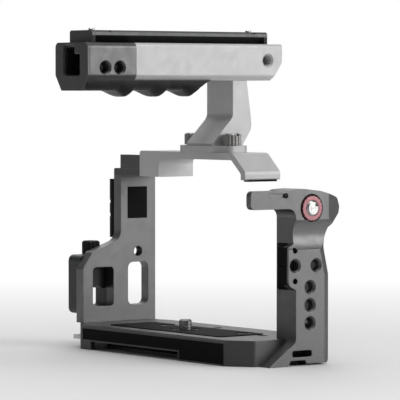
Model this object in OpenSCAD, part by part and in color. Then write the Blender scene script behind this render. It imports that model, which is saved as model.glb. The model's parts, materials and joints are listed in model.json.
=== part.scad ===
// Camera cage with a handle rig.
// X points to the grip side, Y forward along the lens and Z up.
// The origin is the mouth of the tripod thread, on the face that the cage stands on.

/* [Camera bay] */
// Width of the space between the two side plates
bay_w = 130; // [124:1:150]
// Height of the space from the base to the top plate
bay_h = 74.6; // [72:0.1:95]
// Distance from the tripod thread back to the rear of the base
bay_rear = 42; // [40:0.5:55]

/* [Base plate] */
// Thickness of the slab under the camera
slab_t = 8.1; // [7.6:0.1:12]
// Height of the dovetail and the feet below the slab
foot_h = 4.3; // [4:0.1:8]
// Distance from the tripod thread forward to the edge of the base
base_front = 12; // [10:0.5:25]
// Length of the cut across each rear corner, along the rear edge
corner_cut = 12; // [6:0.5:14]
// Length of the cut across each rear corner, along the side
corner_side = 8.5; // [5:0.5:9]
// Width of the quick-release dovetail
dovetail_w = 38; // [36:0.5:40]
// Where the foot on the grip side starts, from the tripod thread
foot_start = 23; // [18:0.5:36]

/* [Side plates] */
// Distance of the grip-side plate's outer face from the bay
side_out = 15; // [13:0.5:20]
// Thickness of the grip-side plate's web
web_t = 5; // [4:0.1:6.5]
// Thickness of the flanges round the grip-side plate
flange_t = 4; // [3:0.1:5]
// Distance of the grip-side plate's rear face behind the tripod thread
plate_rear = 14.7; // [13:0.1:16]
// Distance of the grip-side plate's front face before the tripod thread
plate_front = 6.4; // [5:0.1:7.5]
// Reach of the arm behind the grip-side plate
arm_l = 27.3; // [18:0.1:40]
// Thickness of the arm
arm_t = 3.4; // [2.5:0.1:5]
// Thickness of the left side plate
left_t = 6; // [5:0.1:9]
// Distance of the left plate's rear face behind the tripod thread
left_rear = 12.4; // [11:0.1:14]
// Distance of the left plate's front face before the tripod thread
left_front = 9.4; // [9:0.1:12]

/* [Top plate and bridge] */
// Thickness of the top-left plate
top_t = 3.7; // [3:0.1:6]
// Height of the bridge's top face above the top-left plate
bridge_rise = 9.3; // [8.5:0.1:16]
// Thickness of the bridge's walls
bridge_t = 3.5; // [3:0.1:6]
// Reach of the bridge to the grip side of the middle
bridge_reach = 38; // [32:0.5:50]

/* [Handle] */
// Height of the stanchion, from the foot to the bar
stanchion_h = 32.1; // [28:0.1:50]
// Width of the stanchion
stanchion_w = 21; // [16:0.5:24]
// Width of the bar
bar_w = 25; // [22:0.5:30]
// Height of the bar
bar_h = 18.1; // [16:0.1:24]
// Distance of the bar's front end before the tripod thread
bar_front = 31; // [28:0.5:60]
// Length of the rear sleeve
sleeve_l = 27.3; // [24:0.1:32]
// Distance of the rear cap's face behind the tripod thread
handle_rear = 88.2; // [84:0.1:110]
// Depth of the rubber grip at its finger bumps
grip_h = 8.3; // [7:0.1:12]

/* [Top rail] */
// Width of the rail's flange
rail_w = 18.6; // [18:0.1:20]
// Height of the rail
rail_h = 5.9; // [5.5:0.1:8]
// Distance of the rail's front end before the tripod thread
rail_front = 24.1; // [18:0.1:28]

/* [Knobs and screws] */
// Diameter of the lock knob's seat
knob_seat_d = 13.6; // [12:0.1:15]
// Core diameter of a quarter-inch thread
quarter_d = 5.2; // [5:0.05:5.3]
// Core diameter of a three-eighths-inch thread
three_eighths_d = 7.9; // [7.8:0.05:8.2]
// Diameter of the locating-pin holes
pin_hole_d = 2.8; // [2.5:0.1:3.2]
// Diameter of the small assembly screws
screw_d = 3; // [2.5:0.1:3.2]
// Diameter of the thumbscrews on the handle's foot
thumb_d = 9; // [8:0.1:10.5]

/* [Hidden] */
$fn = 48;
arc_steps = 5; // facets in a rounded corner of an outline
cut = 1; // how far a cutter runs past the face it cuts
thread_gap = 0.05; // between a screw and its hole
run_gap = 0.06; // between a shaft and its bore
part_gap = 0.3; // between pieces that move past each other

// Main planes
base_top = foot_h + slab_t;
bay_x = bay_w / 2;
side_x = bay_x + side_out;
web_x = side_x - web_t;
left_x = -bay_x - left_t;
deck_z = base_top + bay_h;
plate_z = deck_z + top_t;
bridge_z = plate_z + bridge_rise;

// Base plate
base_lip = 7; // how far the base runs past the bay on the grip side
base_x = bay_x + base_lip;
cage_screw_l = base_top + 5.5;
cage_screw_in = 3; // from the bay to the screws on the grip side
left_foot_w = 21;
edge_cut = 0.9; // cut along the rear and front edges
dovetail_front = 8;
dovetail_y = dovetail_front - dovetail_w / 2;
dovetail_lip = 1.2;
shoulder_x = 52; // where the front edge steps back to the side plates
shoulder_l = 8;
wide_thread_x = -24;
side_thread_x = [36, 50];

// Camera screw and its pocket
screw_y = -20;
pocket_r = 9;
pocket_h = 7.4;
stud_r = 3.1;
stud_up = 5.2; // thread above the base
collar_r = 7.5;
collar_t = 2.4;
collar_z = pocket_h - part_gap;
ring_r = 7;
wire_r = 0.9;
ring_z = 2.1;
clip_r = 5.2;
clip_well = 1.4;
clip_z = base_top - 1.2; // groove of the clip that keeps the screw captive
clip_w = 0.9;
stud_tip = 0.6;

// Rubber pad on the base
base_pad_x = 46;
base_pad_y = -34;
base_pad_l = 28;

// Stored screwdriver
tool_w = 7;
tool_t = 2;
tool_l = 66;
tool_y = -35.6;
tool_tab = 9; // where the tool's grip grooves start
magnet_r = 2.5;
magnet_t = 1.6;
magnet_x = 20;
magnet_pitch = 32;

// Strap slot
strap_y0 = -17;
strap_l = 12;
strap_z0 = 4.1;
strap_z1 = 7.3;
strap_well = 8; // depth of the space behind the slot
strap_bar = 5;

// Grip-side plate, in Y and Z
head_z = deck_z - 12.3; // height of the lock knob
knob_y = -5.2;
waist_z = deck_z - 30;
waist_front = 3.2;
nose_y = 16.2;
front_facet = 3.6; // width of the slanted facet along the front edge
facet_lap = 0.1; // how far the facets' cutters overlap at a corner
nose_low = [waist_front + 3.4, deck_z - 21.7]; // corner under the nose, in Y and Z
nose_tip = [nose_y - 0.9, deck_z - 15.2];
nose_flat_y = 5.4; // where the nose's slanted facet starts
nose_slant = 2.1;
arm_z0 = deck_z - 12.4;
arm_z1 = deck_z - 3.6;
arm_root = 4.5;
boss_up = 35.1; // from the base to the middle of the locating boss
boss_z = base_top + boss_up;
boss_h = 22.1;
boss_z0 = boss_z - boss_h / 2 - 0.5;
boss_z1 = boss_z + boss_h / 2 - 0.6;
boss_slant = [1.8, 2.5]; // how far the boss's upper and lower ends lean in
boss_y = -15.2;
boss_rear = 19.3;
boss_lip = 1.2; // of the boss outside the palm pad
boss_rebate = 0.6; // of the boss's rear face, behind the palm pad
palm_in = 1.1; // from the flange's inner edge to the palm pad
palm_slant_x = 5.2; // cut along the palm pad's inner edge
palm_slant_y = 3.9;
palm_sunk = 0.8;
palm_relief = 0.8; // free space behind the locating holes
palm_groove_w = 0.8;
palm_groove_d = 0.4;
foot_reach = 16.3; // slanted rear end of the foot behind the plate
pin_pitch = 14.6;
row_z = base_top + 7.6; // lowest thread of the row
row_pitch = 8.6;
row_y = -6.1;
scoop_r = 11;
scoop_d = 2.6;
scoop_z = deck_z - 24.9;
thread_lead = 0.9; // cone at a thread's mouth
root_h = 7; // solid root of the plate on the base
strip_sunk = 1.2; // rubber strip in the base's rear face
strip_edge = 0.8;
pad_t = 0.8;
arm_hole_d = 2.6;
arm_hole_y = -20.8;
arm_groove_y = -31.5;
arm_groove_l = 10;

// Lock knob
seat_depth = 4;
ring_od = knob_seat_d - 1.8;
ring_id = 7.8;
ring_proud = 0.7;
cap_proud = 1.5;
lock_shaft_r = 2.5;
lock_pad_r = 4.5;
lock_pad_t = 3;
lock_well = 8.5;
lock_socket = 3.4; // depth of the shaft's bore in the pad, behind the pad's face
cap_z = 1.2; // from the seat's floor to the cap
cap_edge = 1; // cone at the cap's rim
cap_notch_r = 1.1;
lock_clip_x = bay_x + lock_well - 1.2; // groove of the clip
lock_clip_w = 0.8;
ring_flutes = 18;

// Cold shoe on the top-left plate
shoe_l = 16.7;
shoe_x0 = left_x + 5.6;
shoe_slot = 18.6; // width of an accessory's foot
shoe_gap = 12.6; // between the lips
shoe_lip_t = 2.2;
shoe_floor = 2.6;
shoe_h = 7;
shoe_stop = 2;
shoe_screw_l = shoe_floor + top_t - 0.6;
top_screw_l = top_t + 5;

// Bridge and handle foot
bridge_x = shoe_x0 + shoe_l; // left end of the bridge
tongue_l = 14;
tongue_t = 1.9;
tongue_in = 3;
bridge_slope = 10;
bridge_screw_l = bridge_rise;
foot_t = 3.3;
foot_top = bridge_z + foot_t;
thumb_gap = 0.8; // between the thumbscrews and the stanchion
thumb_edge = 5.2; // from a thumbscrew's middle to the foot's side
thumb_x = stanchion_w / 2 + thumb_gap + thumb_d / 2;
foot_w = 2 * (thumb_x + thumb_edge);
thumb_y = -3;
thumb_h = 5;
thumb_shaft_r = 2;

// Handle
bar_z = foot_top + stanchion_h;
bar_top = bar_z + bar_h;
sleeve_w = bar_w + 2;
cap_t = 1.4;
sleeve_rear = -handle_rear + cap_t;
sleeve_front = sleeve_rear + sleeve_l;
mouth_w = 13.3;
mouth_z0 = bar_z + 2.2;
mouth_z1 = bar_top - 2.2;
mouth_r = 1.6;
tail_l = 7;
lower_side = 2.4; // height where the handle's sides start to lean in
lower_in = 1.7;
keel_in = 5; // how far the sides lean in at the cap's lower edge
keel_h = 5; // cap and grip below the bar
side_hole_y = sleeve_rear + 9;
side_hole_pitch = 8.5;
side_hole_l = (sleeve_w - mouth_w) / 2 + part_gap; // through the sleeve's wall
side_hole_z = bar_z + 6;
mouth_step_w = 4.5; // lug in the cap's mouth
mouth_step_h = 3.4;
mouth_up = 0.8; // cap's mouth above the sleeve's
grip_front = -12.9;
grip_slope = 5.1; // length of the slanted front end below the bar
bump_half = 4.3; // half the length of a finger bump
bump_first = sleeve_rear + 26;
bump_last = grip_front - 8;
bump_y = [bump_first, (bump_first + bump_last) / 2, bump_last];
grip_screw_l = 8;
grip_screw_in = 1.8; // from the grip's lower face to the screw heads
grip_screw_y = [(bump_y[0] + bump_y[1]) / 2, (bump_y[1] + bump_y[2]) / 2];
stanchion_y = 1.5; // rear face of the stanchion's upright part
stanchion_d = 8.6;
stanchion_screw_l = bar_h + 7;
foot_screw_l = foot_t + 6;
foot_screw_x = 5;
foot_screw_y = -3.5;
bar_screw_x = 3.2;
bar_nose_l = 6.4; // slanted front end of the bar
bar_nose_h = 9;
bar_thread_in = 9; // from the bar's front to its threads
bar_thread_l = 8;

// Top rail
rail_top = bar_top + rail_h;
rail_rear = -handle_rear + 5.5;
rail_flange = 2.4; // height of the rail's edge above its lower bevel
rail_bevel = 0.9;
rail_neck = 12.8;
rail_end = 2;
rail_key_w = 1.6;
rail_key_d = 0.9;
rail_key_y = [rail_rear + 10.7, rail_front - 8.2];
rail_screw_count = 4;
rail_screw_l = rail_h + 6;
rail_first = sleeve_front + 7.5; // rear screw of the rail
rail_last = rail_front - 12.1; // front screw of the rail
rail_pitch = (rail_last - rail_first) / (rail_screw_count - 1);
rail_thread_y = [rail_first - 12, rail_first + 0.5 * rail_pitch, rail_first + 1.5 * rail_pitch];
rail_groove_w = 3.6;
rail_groove_l = 7;
rail_groove_d = 1.4;
stop_y = [rail_rear + 6.2, rail_front - 4.8];
stop_r = 1.5;
stop_up = 1.2;
stop_collar_r = 2.3;
stop_well_r = 2.6;
stop_skin = 1.2; // of the rail above a stop pin's collar
stop_collar_t = 1;
stop_tip = 0.4; // cone at a stop pin's end
stop_z = rail_top - stop_skin;
stop_collar_z = stop_z - 0.1; // top of the collar
spring_turns = 3;
spring_wire = 0.22;
spring_steps = 14;
spring_sides = 6;
spring_r = stop_collar_r - 0.4;
spring_z0 = bar_top + spring_wire;
spring_z1 = stop_collar_z - stop_collar_t - spring_wire;

// Side rail
side_rail_w = 20.4;
side_rail_t = 5.6;
side_rail_y = (left_front - left_rear) / 2;
side_rail_l = 30;
side_rail_z1 = deck_z - 2;
side_rail_z0 = side_rail_z1 - side_rail_l;
left_thread_h = 35.5; // height of the left plate's thread above the base
port_edge = 4.5; // left plate's material beside the port window
port_z0 = base_top + 8;
port_h = 22;
side_rail_zc = (side_rail_z0 + side_rail_z1) / 2;
side_screw_dz = 9;
side_screw_in = 1.4; // from the rail's face to the screw heads
side_screw_l = side_rail_t + 3.2;
key_dz = 3.4; // from the rail's middle to a cross groove
key_w = 1.6;
key_d = 1.3;

// Cable clamp
clamp_x = left_x - 10;
clamp_y0 = -34;
clamp_l = 21;
clamp_z0 = base_top + 4;
clamp_h = 30;
clamp_wall = 4;
clamp_top_t = 6;
jaw_h = 11;
clamp_shaft_r = 1.5;
clamp_knob_r = 4.6;
clamp_screw_r = 1;
clamp_knob_h = 6;
clamp_z1 = clamp_z0 + clamp_h;
window_z1 = clamp_z1 - clamp_top_t;
clamp_yc = clamp_y0 + clamp_l / 2;
clamp_xc = (clamp_x + left_x) / 2;
clamp_screw_l = left_x - clamp_x + 3;
jaw_z1 = window_z1 - part_gap; // top of the open jaw
jaw_z0 = jaw_z1 - jaw_h;
clamp_collar_z = window_z1 + 2; // groove of the collar that holds the screw
clamp_collar_t = 1.6;
clamp_collar_r = clamp_shaft_r + 1;

// Node names

// ---- Helpers ----

function unit(v) = v / norm(v);
function turned(v, a) = [v.x * cos(a) - v.y * sin(a), v.x * sin(a) + v.y * cos(a)];

// Arc that rounds the corner at b between a and c
function corner_arc(a, b, c, r) =
    r <= 0 ? [[b.x, b.y]] :
    let (
        p = [b.x, b.y],
        u = unit([a.x, a.y] - p),
        w = unit([c.x, c.y] - p),
        half = acos(u * w) / 2,
        centre = p + unit(u + w) * r / sin(half),
        first = p + u * r / tan(half) - centre,
        sweep = (180 - 2 * half) * (cross(u, w) > 0 ? -1 : 1)
    )
    [for (i = [0:arc_steps]) centre + turned(first, sweep * i / arc_steps)];

// Outline with rounded corners: each entry is [x, y, corner radius]
function rounded(p) = [
    for (i = [0:len(p) - 1])
        each corner_arc(p[(i + len(p) - 1) % len(p)], p[i], p[(i + 1) % len(p)], p[i].z)
];

// Outline of a rectangle with corners of one radius
function rounded_box(x0, x1, y0, y1, r) =
    rounded([[x0, y0, r], [x1, y0, r], [x1, y1, r], [x0, y1, r]]);

// Outline in Y and Z, drawn out along X
module along_x(x0, x1) {
    translate([x0, 0, 0])
        rotate([90, 0, 90])
            linear_extrude(height = x1 - x0)
                children();
}

// Outline in X and Z, drawn out along Y
module along_y(y0, y1) {
    translate([0, y1, 0])
        rotate([90, 0, 0])
            linear_extrude(height = y1 - y0)
                children();
}

// Outline in X and Y, drawn out along Z
module along_z(z0, z1) {
    translate([0, 0, z0])
        linear_extrude(height = z1 - z0)
            children();
}

module block(x0, x1, y0, y1, z0, z1) {
    translate([x0, y0, z0])
        cube([x1 - x0, y1 - y0, z1 - z0]);
}

// Round bar or cutter along X, Y or Z
module rod_x(x0, x1, y, z, r) {
    translate([x0, y, z])
        rotate([0, 90, 0])
            cylinder(h = x1 - x0, r = r);
}

module rod_y(y0, y1, x, z, r) {
    translate([x, y1, z])
        rotate([90, 0, 0])
            cylinder(h = y1 - y0, r = r);
}

module rod_z(z0, z1, x, y, r) {
    translate([x, y, z0])
        cylinder(h = z1 - z0, r = r);
}

// Threaded hole with a cone at its mouth, cut along -Z from the face at the origin
module tapped(r, depth) {
    translate([0, 0, -depth])
        cylinder(h = depth + cut, r = r);
    translate([0, 0, -thread_lead])
        cylinder(h = thread_lead + 0.01, r1 = r, r2 = r + thread_lead);
}

// Countersunk screw whose head lies at the origin, pointing down
module csk_screw(r, length) {
    head_r = 1.9 * r;
    difference() {
        union() {
            translate([0, 0, -length])
                cylinder(h = length, r = r);
            translate([0, 0, -(head_r - r)])
                cylinder(h = head_r - r, r1 = r, r2 = head_r);
        }
        translate([0, 0, -0.7 * r])
            cylinder(h = r + cut, r = 0.75 * r, $fn = 6);
    }
}

// Hole for a countersunk screw
module csk_hole(r, length) {
    head_r = 1.9 * r;
    translate([0, 0, -length - thread_gap])
        cylinder(h = length + thread_gap, r = r + thread_gap);
    translate([0, 0, -(head_r - r)])
        cylinder(h = head_r - r + 0.01, r1 = r + thread_gap, r2 = head_r + thread_gap + 0.01);
    cylinder(h = cut, r = head_r + thread_gap + 0.01);
}

// Ring of grip grooves cut round a knob along Z
module flutes(r, h, count, flute_r) {
    for (i = [0:count - 1])
        rotate([0, 0, 360 * i / count])
            translate([r, 0, -cut])
                cylinder(h = h + 2 * cut, r = flute_r);
}

// ---- Base ----

module base_outline() {
    polygon(rounded([
        [left_x + corner_cut, -bay_rear, 2],
        [base_x - corner_cut, -bay_rear, 2],
        [base_x, -bay_rear + corner_side, 2],
        [base_x, plate_front, 0.6],
        [shoulder_x + shoulder_l, plate_front, 3],
        [shoulder_x, base_front, 3],
        [-shoulder_x, base_front, 3],
        [-shoulder_x - shoulder_l, left_front, 3],
        [left_x, left_front, 0.6],
        [left_x, -bay_rear + corner_side, 2]
    ]));
}

// Slab's section in Y and Z, with its long edges cut
module slab_section() {
    polygon([
        [-bay_rear, foot_h],
        [base_front, foot_h],
        [base_front, base_top - edge_cut],
        [base_front - edge_cut, base_top],
        [-bay_rear + edge_cut, base_top],
        [-bay_rear, base_top - edge_cut]
    ]);
}

module dovetail_section() {
    half = dovetail_w / 2;
    neck = half - (foot_h - dovetail_lip);
    translate([dovetail_y, 0])
        polygon([
            [-half, 0], [half, 0], [half, dovetail_lip], [neck, foot_h],
            [-neck, foot_h], [-half, dovetail_lip]
        ]);
}

module at_cage_screws() {
    for (y = [-12, 1])
        translate([bay_x + cage_screw_in, y, 0])
            children();
    for (y = [-9, 4])
        translate([left_x + left_t / 2, y, 0])
            children();
}

module tool_channel(gap) {
    block(left_x - cut, left_x + tool_l + gap, tool_y - tool_w / 2 - gap,
          tool_y + tool_w / 2 + gap, -cut, foot_h + tool_t + gap);
}

module at_magnets() {
    for (x = [left_x + magnet_x, left_x + magnet_x + magnet_pitch])
        translate([x, tool_y, foot_h + tool_t + part_gap])
            children();
}

module bottom_plate() {
    color("#58595b")
    difference() {
        union() {
            intersection() {
                along_z(foot_h, base_top) base_outline();
                along_x(left_x - cut, base_x + cut) slab_section();
            }
            intersection() {
                along_z(0, foot_h) base_outline();
                union() {
                    block(foot_start, base_x + cut, -bay_rear - cut, plate_front, 0, foot_h);
                    block(left_x - cut, left_x + left_foot_w, -bay_rear - cut, left_front, 0, foot_h);
                }
            }
            along_x(left_x + left_foot_w, foot_start) dovetail_section();
        }
        // tripod threads
        rod_z(-cut, base_top + cut, 0, 0, quarter_d / 2);
        translate([wide_thread_x, dovetail_y, 0])
            mirror([0, 0, 1]) tapped(three_eighths_d / 2, base_top + cut);
        for (x = side_thread_x)
            translate([x, dovetail_y, 0]) mirror([0, 0, 1]) tapped(quarter_d / 2, base_top + cut);
        // pocket and bore of the camera screw
        rod_z(-cut, pocket_h, 0, screw_y, pocket_r);
        rod_z(0, base_top + cut, 0, screw_y, stud_r + run_gap);
        rod_z(base_top - clip_well, base_top + cut, 0, screw_y, clip_r + part_gap);
        // screwdriver and its magnets
        tool_channel(part_gap);
        at_magnets() cylinder(h = magnet_t, r = magnet_r + thread_gap);
        // finger notch for the screwdriver
        rod_z(-cut, foot_h + tool_t, left_x, tool_y, 7);
        // strap slot
        block(base_x - 1, base_x + cut, strap_y0, strap_y0 + strap_l, -cut, strap_z1);
        // cage screws
        at_cage_screws() mirror([0, 0, 1]) csk_hole(screw_d / 2, cage_screw_l);
        // recesses of the rubber pad and of the rear strip
        along_z(base_top - pad_t, base_top + cut) base_pad_outline(thread_gap);
        rear_strip_body(thread_gap);
    }
}

// Rubber strip along the rear face, stepped where the foot starts
module rear_strip_body(gap) {
    x0 = left_x + corner_cut + 2 - gap;
    x1 = base_x - corner_cut - strip_edge + gap;
    along_y(-bay_rear, -bay_rear + strip_sunk + gap)
        polygon([
            [x0, foot_h + strip_edge - gap],
            [foot_start + strip_edge - gap, foot_h + strip_edge - gap],
            [foot_start + strip_edge - gap, strip_edge - gap],
            [x1, strip_edge - gap],
            [x1, base_top - 2 * edge_cut + gap],
            [x0, base_top - 2 * edge_cut + gap]
        ]);
}

module rear_strip() {
    color("#141414") rear_strip_body(0);
}

module base_pad_outline(gap) {
    difference() {
        polygon(rounded_box(-base_pad_x - gap, base_pad_x + gap, base_pad_y - gap,
                            base_pad_y + base_pad_l + gap, 3));
        translate([0, screw_y]) circle(r = clip_r + 2 - gap);
        translate([wide_thread_x, dovetail_y]) circle(r = three_eighths_d / 2 + 2 - gap);
        translate([side_thread_x[0], dovetail_y]) circle(r = quarter_d / 2 + 2 - gap);
    }
}

module base_pad() {
    color("#151515")
    along_z(base_top - pad_t, base_top + 0.4) base_pad_outline(0);
}

module cage_screws() {
    color("#3a3a3c") {
        at_cage_screws() mirror([0, 0, 1]) csk_screw(screw_d / 2, cage_screw_l);
        at_top_screws() csk_screw(screw_d / 2, top_screw_l);
    }
}

// ---- Grip-side plate ----

// Direction of the line that halves the corner at b, one step out of the outline
function mitre(a, b, c) =
    let (
        u = unit(b - a),
        w = unit(c - b)
    )
    [u.y + w.y, -u.x - w.x] / (1 + u * w);

// Wedge that slants the outer face along an edge from p to q in Y and Z
module facet_wedge(p, q) {
    d = q - p;
    translate([side_x, p.x, p.y])
        rotate([atan2(d.y, d.x) - 90, 0, 0])
            translate([0, 0, -front_facet])
                linear_extrude(height = norm(d) + 2 * front_facet)
                    polygon([
                        [cut, -front_facet - cut * nose_slant],
                        [cut, 2 * cut],
                        [-(front_facet + 2 * cut) / nose_slant, 2 * cut]
                    ]);
}

// Cutter for slanted facets along a path, mitred where the path turns
module edge_facets(path) {
    for (i = [1:len(path) - 3]) {
        p = path[i];
        q = path[i + 1];
        p_out = mitre(path[i - 1], p, q);
        q_out = mitre(p, q, path[i + 2]);
        past = facet_lap * unit(q - p);
        intersection() {
            facet_wedge(p, q);
            along_x(web_x + cut, side_x + cut / 2)
                polygon([
                    p - past + cut * p_out,
                    p - past - (front_facet + cut) * p_out,
                    q + past - (front_facet + cut) * q_out,
                    q + past + cut * q_out
                ]);
        }
    }
}

// Plate without its arm and boss
module plate_outline() {
    polygon(rounded([
        [-plate_rear, base_top, 0],
        [plate_front, base_top, 0],
        [plate_front, waist_z - 14, 10],
        [waist_front, waist_z, 9],
        [nose_low.x, nose_low.y, 3],
        [nose_tip.x, nose_tip.y, 2],
        [nose_y, deck_z - 12, 2.5],
        [nose_y - 2.4, deck_z - 7.6, 3.5],
        [0, deck_z - 4.1, 14],
        [-10, deck_z - 3, 10],
        [-plate_rear - arm_root - 4, arm_z1, 4],
        [-plate_rear - arm_root, arm_z0, 0.3],
        [-plate_rear, arm_z0, arm_root - 0.2]
    ]));
}

module arm_outline() {
    polygon(rounded([
        [-plate_rear - arm_l, arm_z0, 2.4],
        [-plate_rear, arm_z0, 0],
        [-plate_rear, arm_z1, 0],
        [-plate_rear - arm_l, arm_z1, 2.4]
    ]));
}

module boss_outline() {
    polygon(rounded([
        [-plate_rear + 1, boss_z0, 0],
        [-plate_rear + 1, boss_z1, 0],
        [-plate_rear, boss_z1, 0],
        [-boss_rear, boss_z1 - boss_slant[0], 1.5],
        [-boss_rear, boss_z0 + boss_slant[1], 3],
        [-plate_rear, boss_z0, 1]
    ]));
}

// Foot outside the base, with its slanting rear edge and its notch
module foot_outline() {
    polygon(rounded([
        [-plate_rear - foot_reach, 0, 0],
        [strap_y0 - 2.2, 0, 0.5],
        [strap_y0 - 1, 2.6, 0.8],
        [strap_y0 + 8, 2.6, 0.8],
        [strap_y0 + 9, 0.8, 0.4],
        [plate_front - 1, 0.8, 1],
        [plate_front, 2, 1],
        [plate_front, base_top + root_h, 0],
        [-plate_rear, base_top + root_h, 0],
        [-plate_rear, base_top - 1.2, 3]
    ]));
}

// Hollow on the inner side, between the flanges, the root and the head
module inner_pocket() {
    along_x(bay_x - cut, web_x)
        polygon(rounded([
            [-plate_rear + flange_t, base_top + root_h, 2],
            [plate_front - flange_t, base_top + root_h, 2],
            [plate_front - flange_t, waist_z - 14, 4],
            [waist_front - flange_t, waist_z, 4],
            [waist_front - flange_t, head_z - 12, 2],
            [-plate_rear + flange_t, head_z - 12, 2]
        ]));
}

module at_side_threads() {
    for (i = [0:2])
        translate([side_x, row_y, row_z + i * row_pitch]) children();
    for (y = [-2.4, boss_y])
        translate([side_x, y, boss_z]) children();
}

module grip_side_plate() {
    color("#77787a")
    difference() {
        union() {
            along_x(bay_x + part_gap, side_x) plate_outline();
            along_x(side_x - arm_t, side_x) arm_outline();
            along_x(web_x, side_x) boss_outline();
            along_x(base_x, side_x) foot_outline();
        }
        inner_pocket();
        // slanted nose and front edge
        along_z(head_z - 20, deck_z)
            polygon([
                [side_x + cut, nose_flat_y - cut * nose_slant],
                [side_x + cut, nose_y + 4],
                [side_x - (nose_y + 4 - nose_flat_y) / nose_slant, nose_y + 4]
            ]);
        edge_facets([
            [plate_front, -3 * cut],
            [plate_front, -2 * cut],
            [plate_front, waist_z - 14],
            [waist_front, waist_z],
            nose_low,
            nose_tip,
            [nose_y, deck_z - 12]
        ]);
        // thumb scoop
        rod_y(-plate_rear - 8, nose_y + 8, side_x + scoop_r - scoop_d, scoop_z, scoop_r);
        // threads and locating holes
        at_side_threads() rotate([0, 90, 0]) tapped(quarter_d / 2, web_t + part_gap);
        for (side = [-1, 1])
            rod_x(web_x - part_gap, side_x + cut, boss_y, boss_z + side * pin_pitch / 2, pin_hole_d / 2);
        // lock knob: seat, bore and the pad's well
        rod_x(side_x - seat_depth, side_x + cut, knob_y, head_z, knob_seat_d / 2);
        rod_x(bay_x, side_x, knob_y, head_z, lock_shaft_r + run_gap);
        rod_x(bay_x, bay_x + lock_well, knob_y, head_z, lock_pad_r + run_gap);
        // groove and hole at the arm's root
        along_x(side_x - 1, side_x + cut)
            polygon(rounded_box(arm_groove_y, arm_groove_y + arm_groove_l,
                                arm_z1 - 3.6, arm_z1 - 1.4, 0.5));
        rod_x(side_x - arm_t - cut, side_x + cut, arm_hole_y, arm_z1 - 2.5, arm_hole_d / 2);
        // strap slot and its well
        block(side_x - strap_well - cut, side_x - strap_bar, strap_y0, strap_y0 + strap_l, -cut, strap_z1);
        along_x(side_x - strap_well, side_x + cut)
            polygon(rounded_box(strap_y0, strap_y0 + strap_l, strap_z0, strap_z1, 1.2));
        // cage screws and pad recesses
        at_cage_screws() mirror([0, 0, 1]) csk_hole(screw_d / 2, cage_screw_l);
        right_pad(bay_x - cut, thread_gap);
        palm_pad_body(thread_gap);
    }
}

// Rubber pad behind the boss, in X and Y, and the recess for it
module palm_pad_outline(gap) {
    x0 = bay_x + part_gap + palm_in - gap;
    x1 = side_x - boss_lip + gap;
    xw = web_x - palm_relief + gap;
    polygon([
        [x0, -plate_rear + palm_sunk + gap],
        [xw, -plate_rear + palm_sunk + gap],
        [xw, -boss_rear + boss_rebate + gap],
        [x1, -boss_rear + boss_rebate + gap],
        [x1, -boss_rear - gap],
        [x0 + palm_slant_x, -boss_rear - gap],
        [x0, -boss_rear + palm_slant_y - gap]
    ]);
}

module palm_pad_body(gap) {
    along_z(boss_z0 - gap, boss_z1 + gap) palm_pad_outline(gap);
}

module palm_pad() {
    color("#161616")
    difference() {
        intersection() {
            palm_pad_body(0);
            along_x(bay_x, side_x) boss_outline();
        }
        // groove half-way up
        difference() {
            block(bay_x, side_x, -boss_rear - cut, -plate_rear - thread_gap,
                  boss_z - palm_groove_w / 2, boss_z + palm_groove_w / 2);
            along_z(boss_z - palm_groove_w, boss_z + palm_groove_w)
                translate([0, palm_groove_d]) palm_pad_outline(0);
        }
    }
}

// Rubber pads: each starts at x0 or ends at x1, and a recess has a gap round it
module right_pad(x0, gap) {
    block(x0, bay_x + part_gap + pad_t, -plate_rear + 0.8 - gap, -plate_rear + flange_t - 0.6 + gap,
          base_top + 14 - gap, head_z - 22 + gap);
}

module left_pad(x1, gap) {
    block(-bay_x - pad_t, x1, -8 - gap, 4 + gap, deck_z - 22 - gap, deck_z - 6 + gap);
}

module side_pads() {
    color("#151515") {
        right_pad(bay_x, 0);
        left_pad(-bay_x + part_gap, 0);
        // foot under the bridge's free end
        block(bridge_reach - bridge_t, bridge_reach,
              -left_rear + 2, left_front - 2, deck_z - pad_t, deck_z);
    }
}

// ---- Lock knob ----

module lock_knob() {
    color("#dcdcdc")
    difference() {
        union() {
            rod_x(side_x - seat_depth + cap_z, side_x + cap_proud - cap_edge, knob_y, head_z,
                  ring_id / 2 - thread_gap);
            translate([side_x + cap_proud - cap_edge, knob_y, head_z])
                rotate([0, 90, 0])
                    cylinder(h = cap_edge, r1 = ring_id / 2 - thread_gap, r2 = ring_id / 2 - cap_edge);
            rod_x(bay_x + lock_pad_t + 0.8, side_x - seat_depth + cap_z, knob_y, head_z, lock_shaft_r);
        }
        // notch in the cap's rim
        translate([side_x + cap_proud, knob_y + 1.9, head_z + 1.9])
            rotate([0, 90, 0])
                cylinder(h = 3, r = cap_notch_r, center = true);
        // groove of the retaining clip
        difference() {
            rod_x(lock_clip_x, lock_clip_x + lock_clip_w, knob_y, head_z, lock_shaft_r + cut);
            rod_x(lock_clip_x - cut, lock_clip_x + lock_clip_w + cut, knob_y, head_z, lock_shaft_r - 0.5);
        }
    }
}

module knob_ring() {
    color("#b0404c")
    difference() {
        rod_x(side_x - seat_depth + 0.1, side_x + ring_proud, knob_y, head_z, ring_od / 2);
        rod_x(side_x - seat_depth + cap_z - thread_gap, side_x + ring_proud + cut,
              knob_y, head_z, ring_id / 2);
        rod_x(side_x - seat_depth - cut, side_x, knob_y, head_z, lock_shaft_r + thread_gap);
        translate([side_x + ring_proud, knob_y, head_z])
            rotate([0, 90, 0])
                for (i = [0:ring_flutes - 1])
                    rotate([0, 0, 360 * i / ring_flutes])
                        translate([ring_od / 2 + 0.35, 0, -2])
                            cylinder(h = 4, r = 0.6);
    }
}

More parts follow.
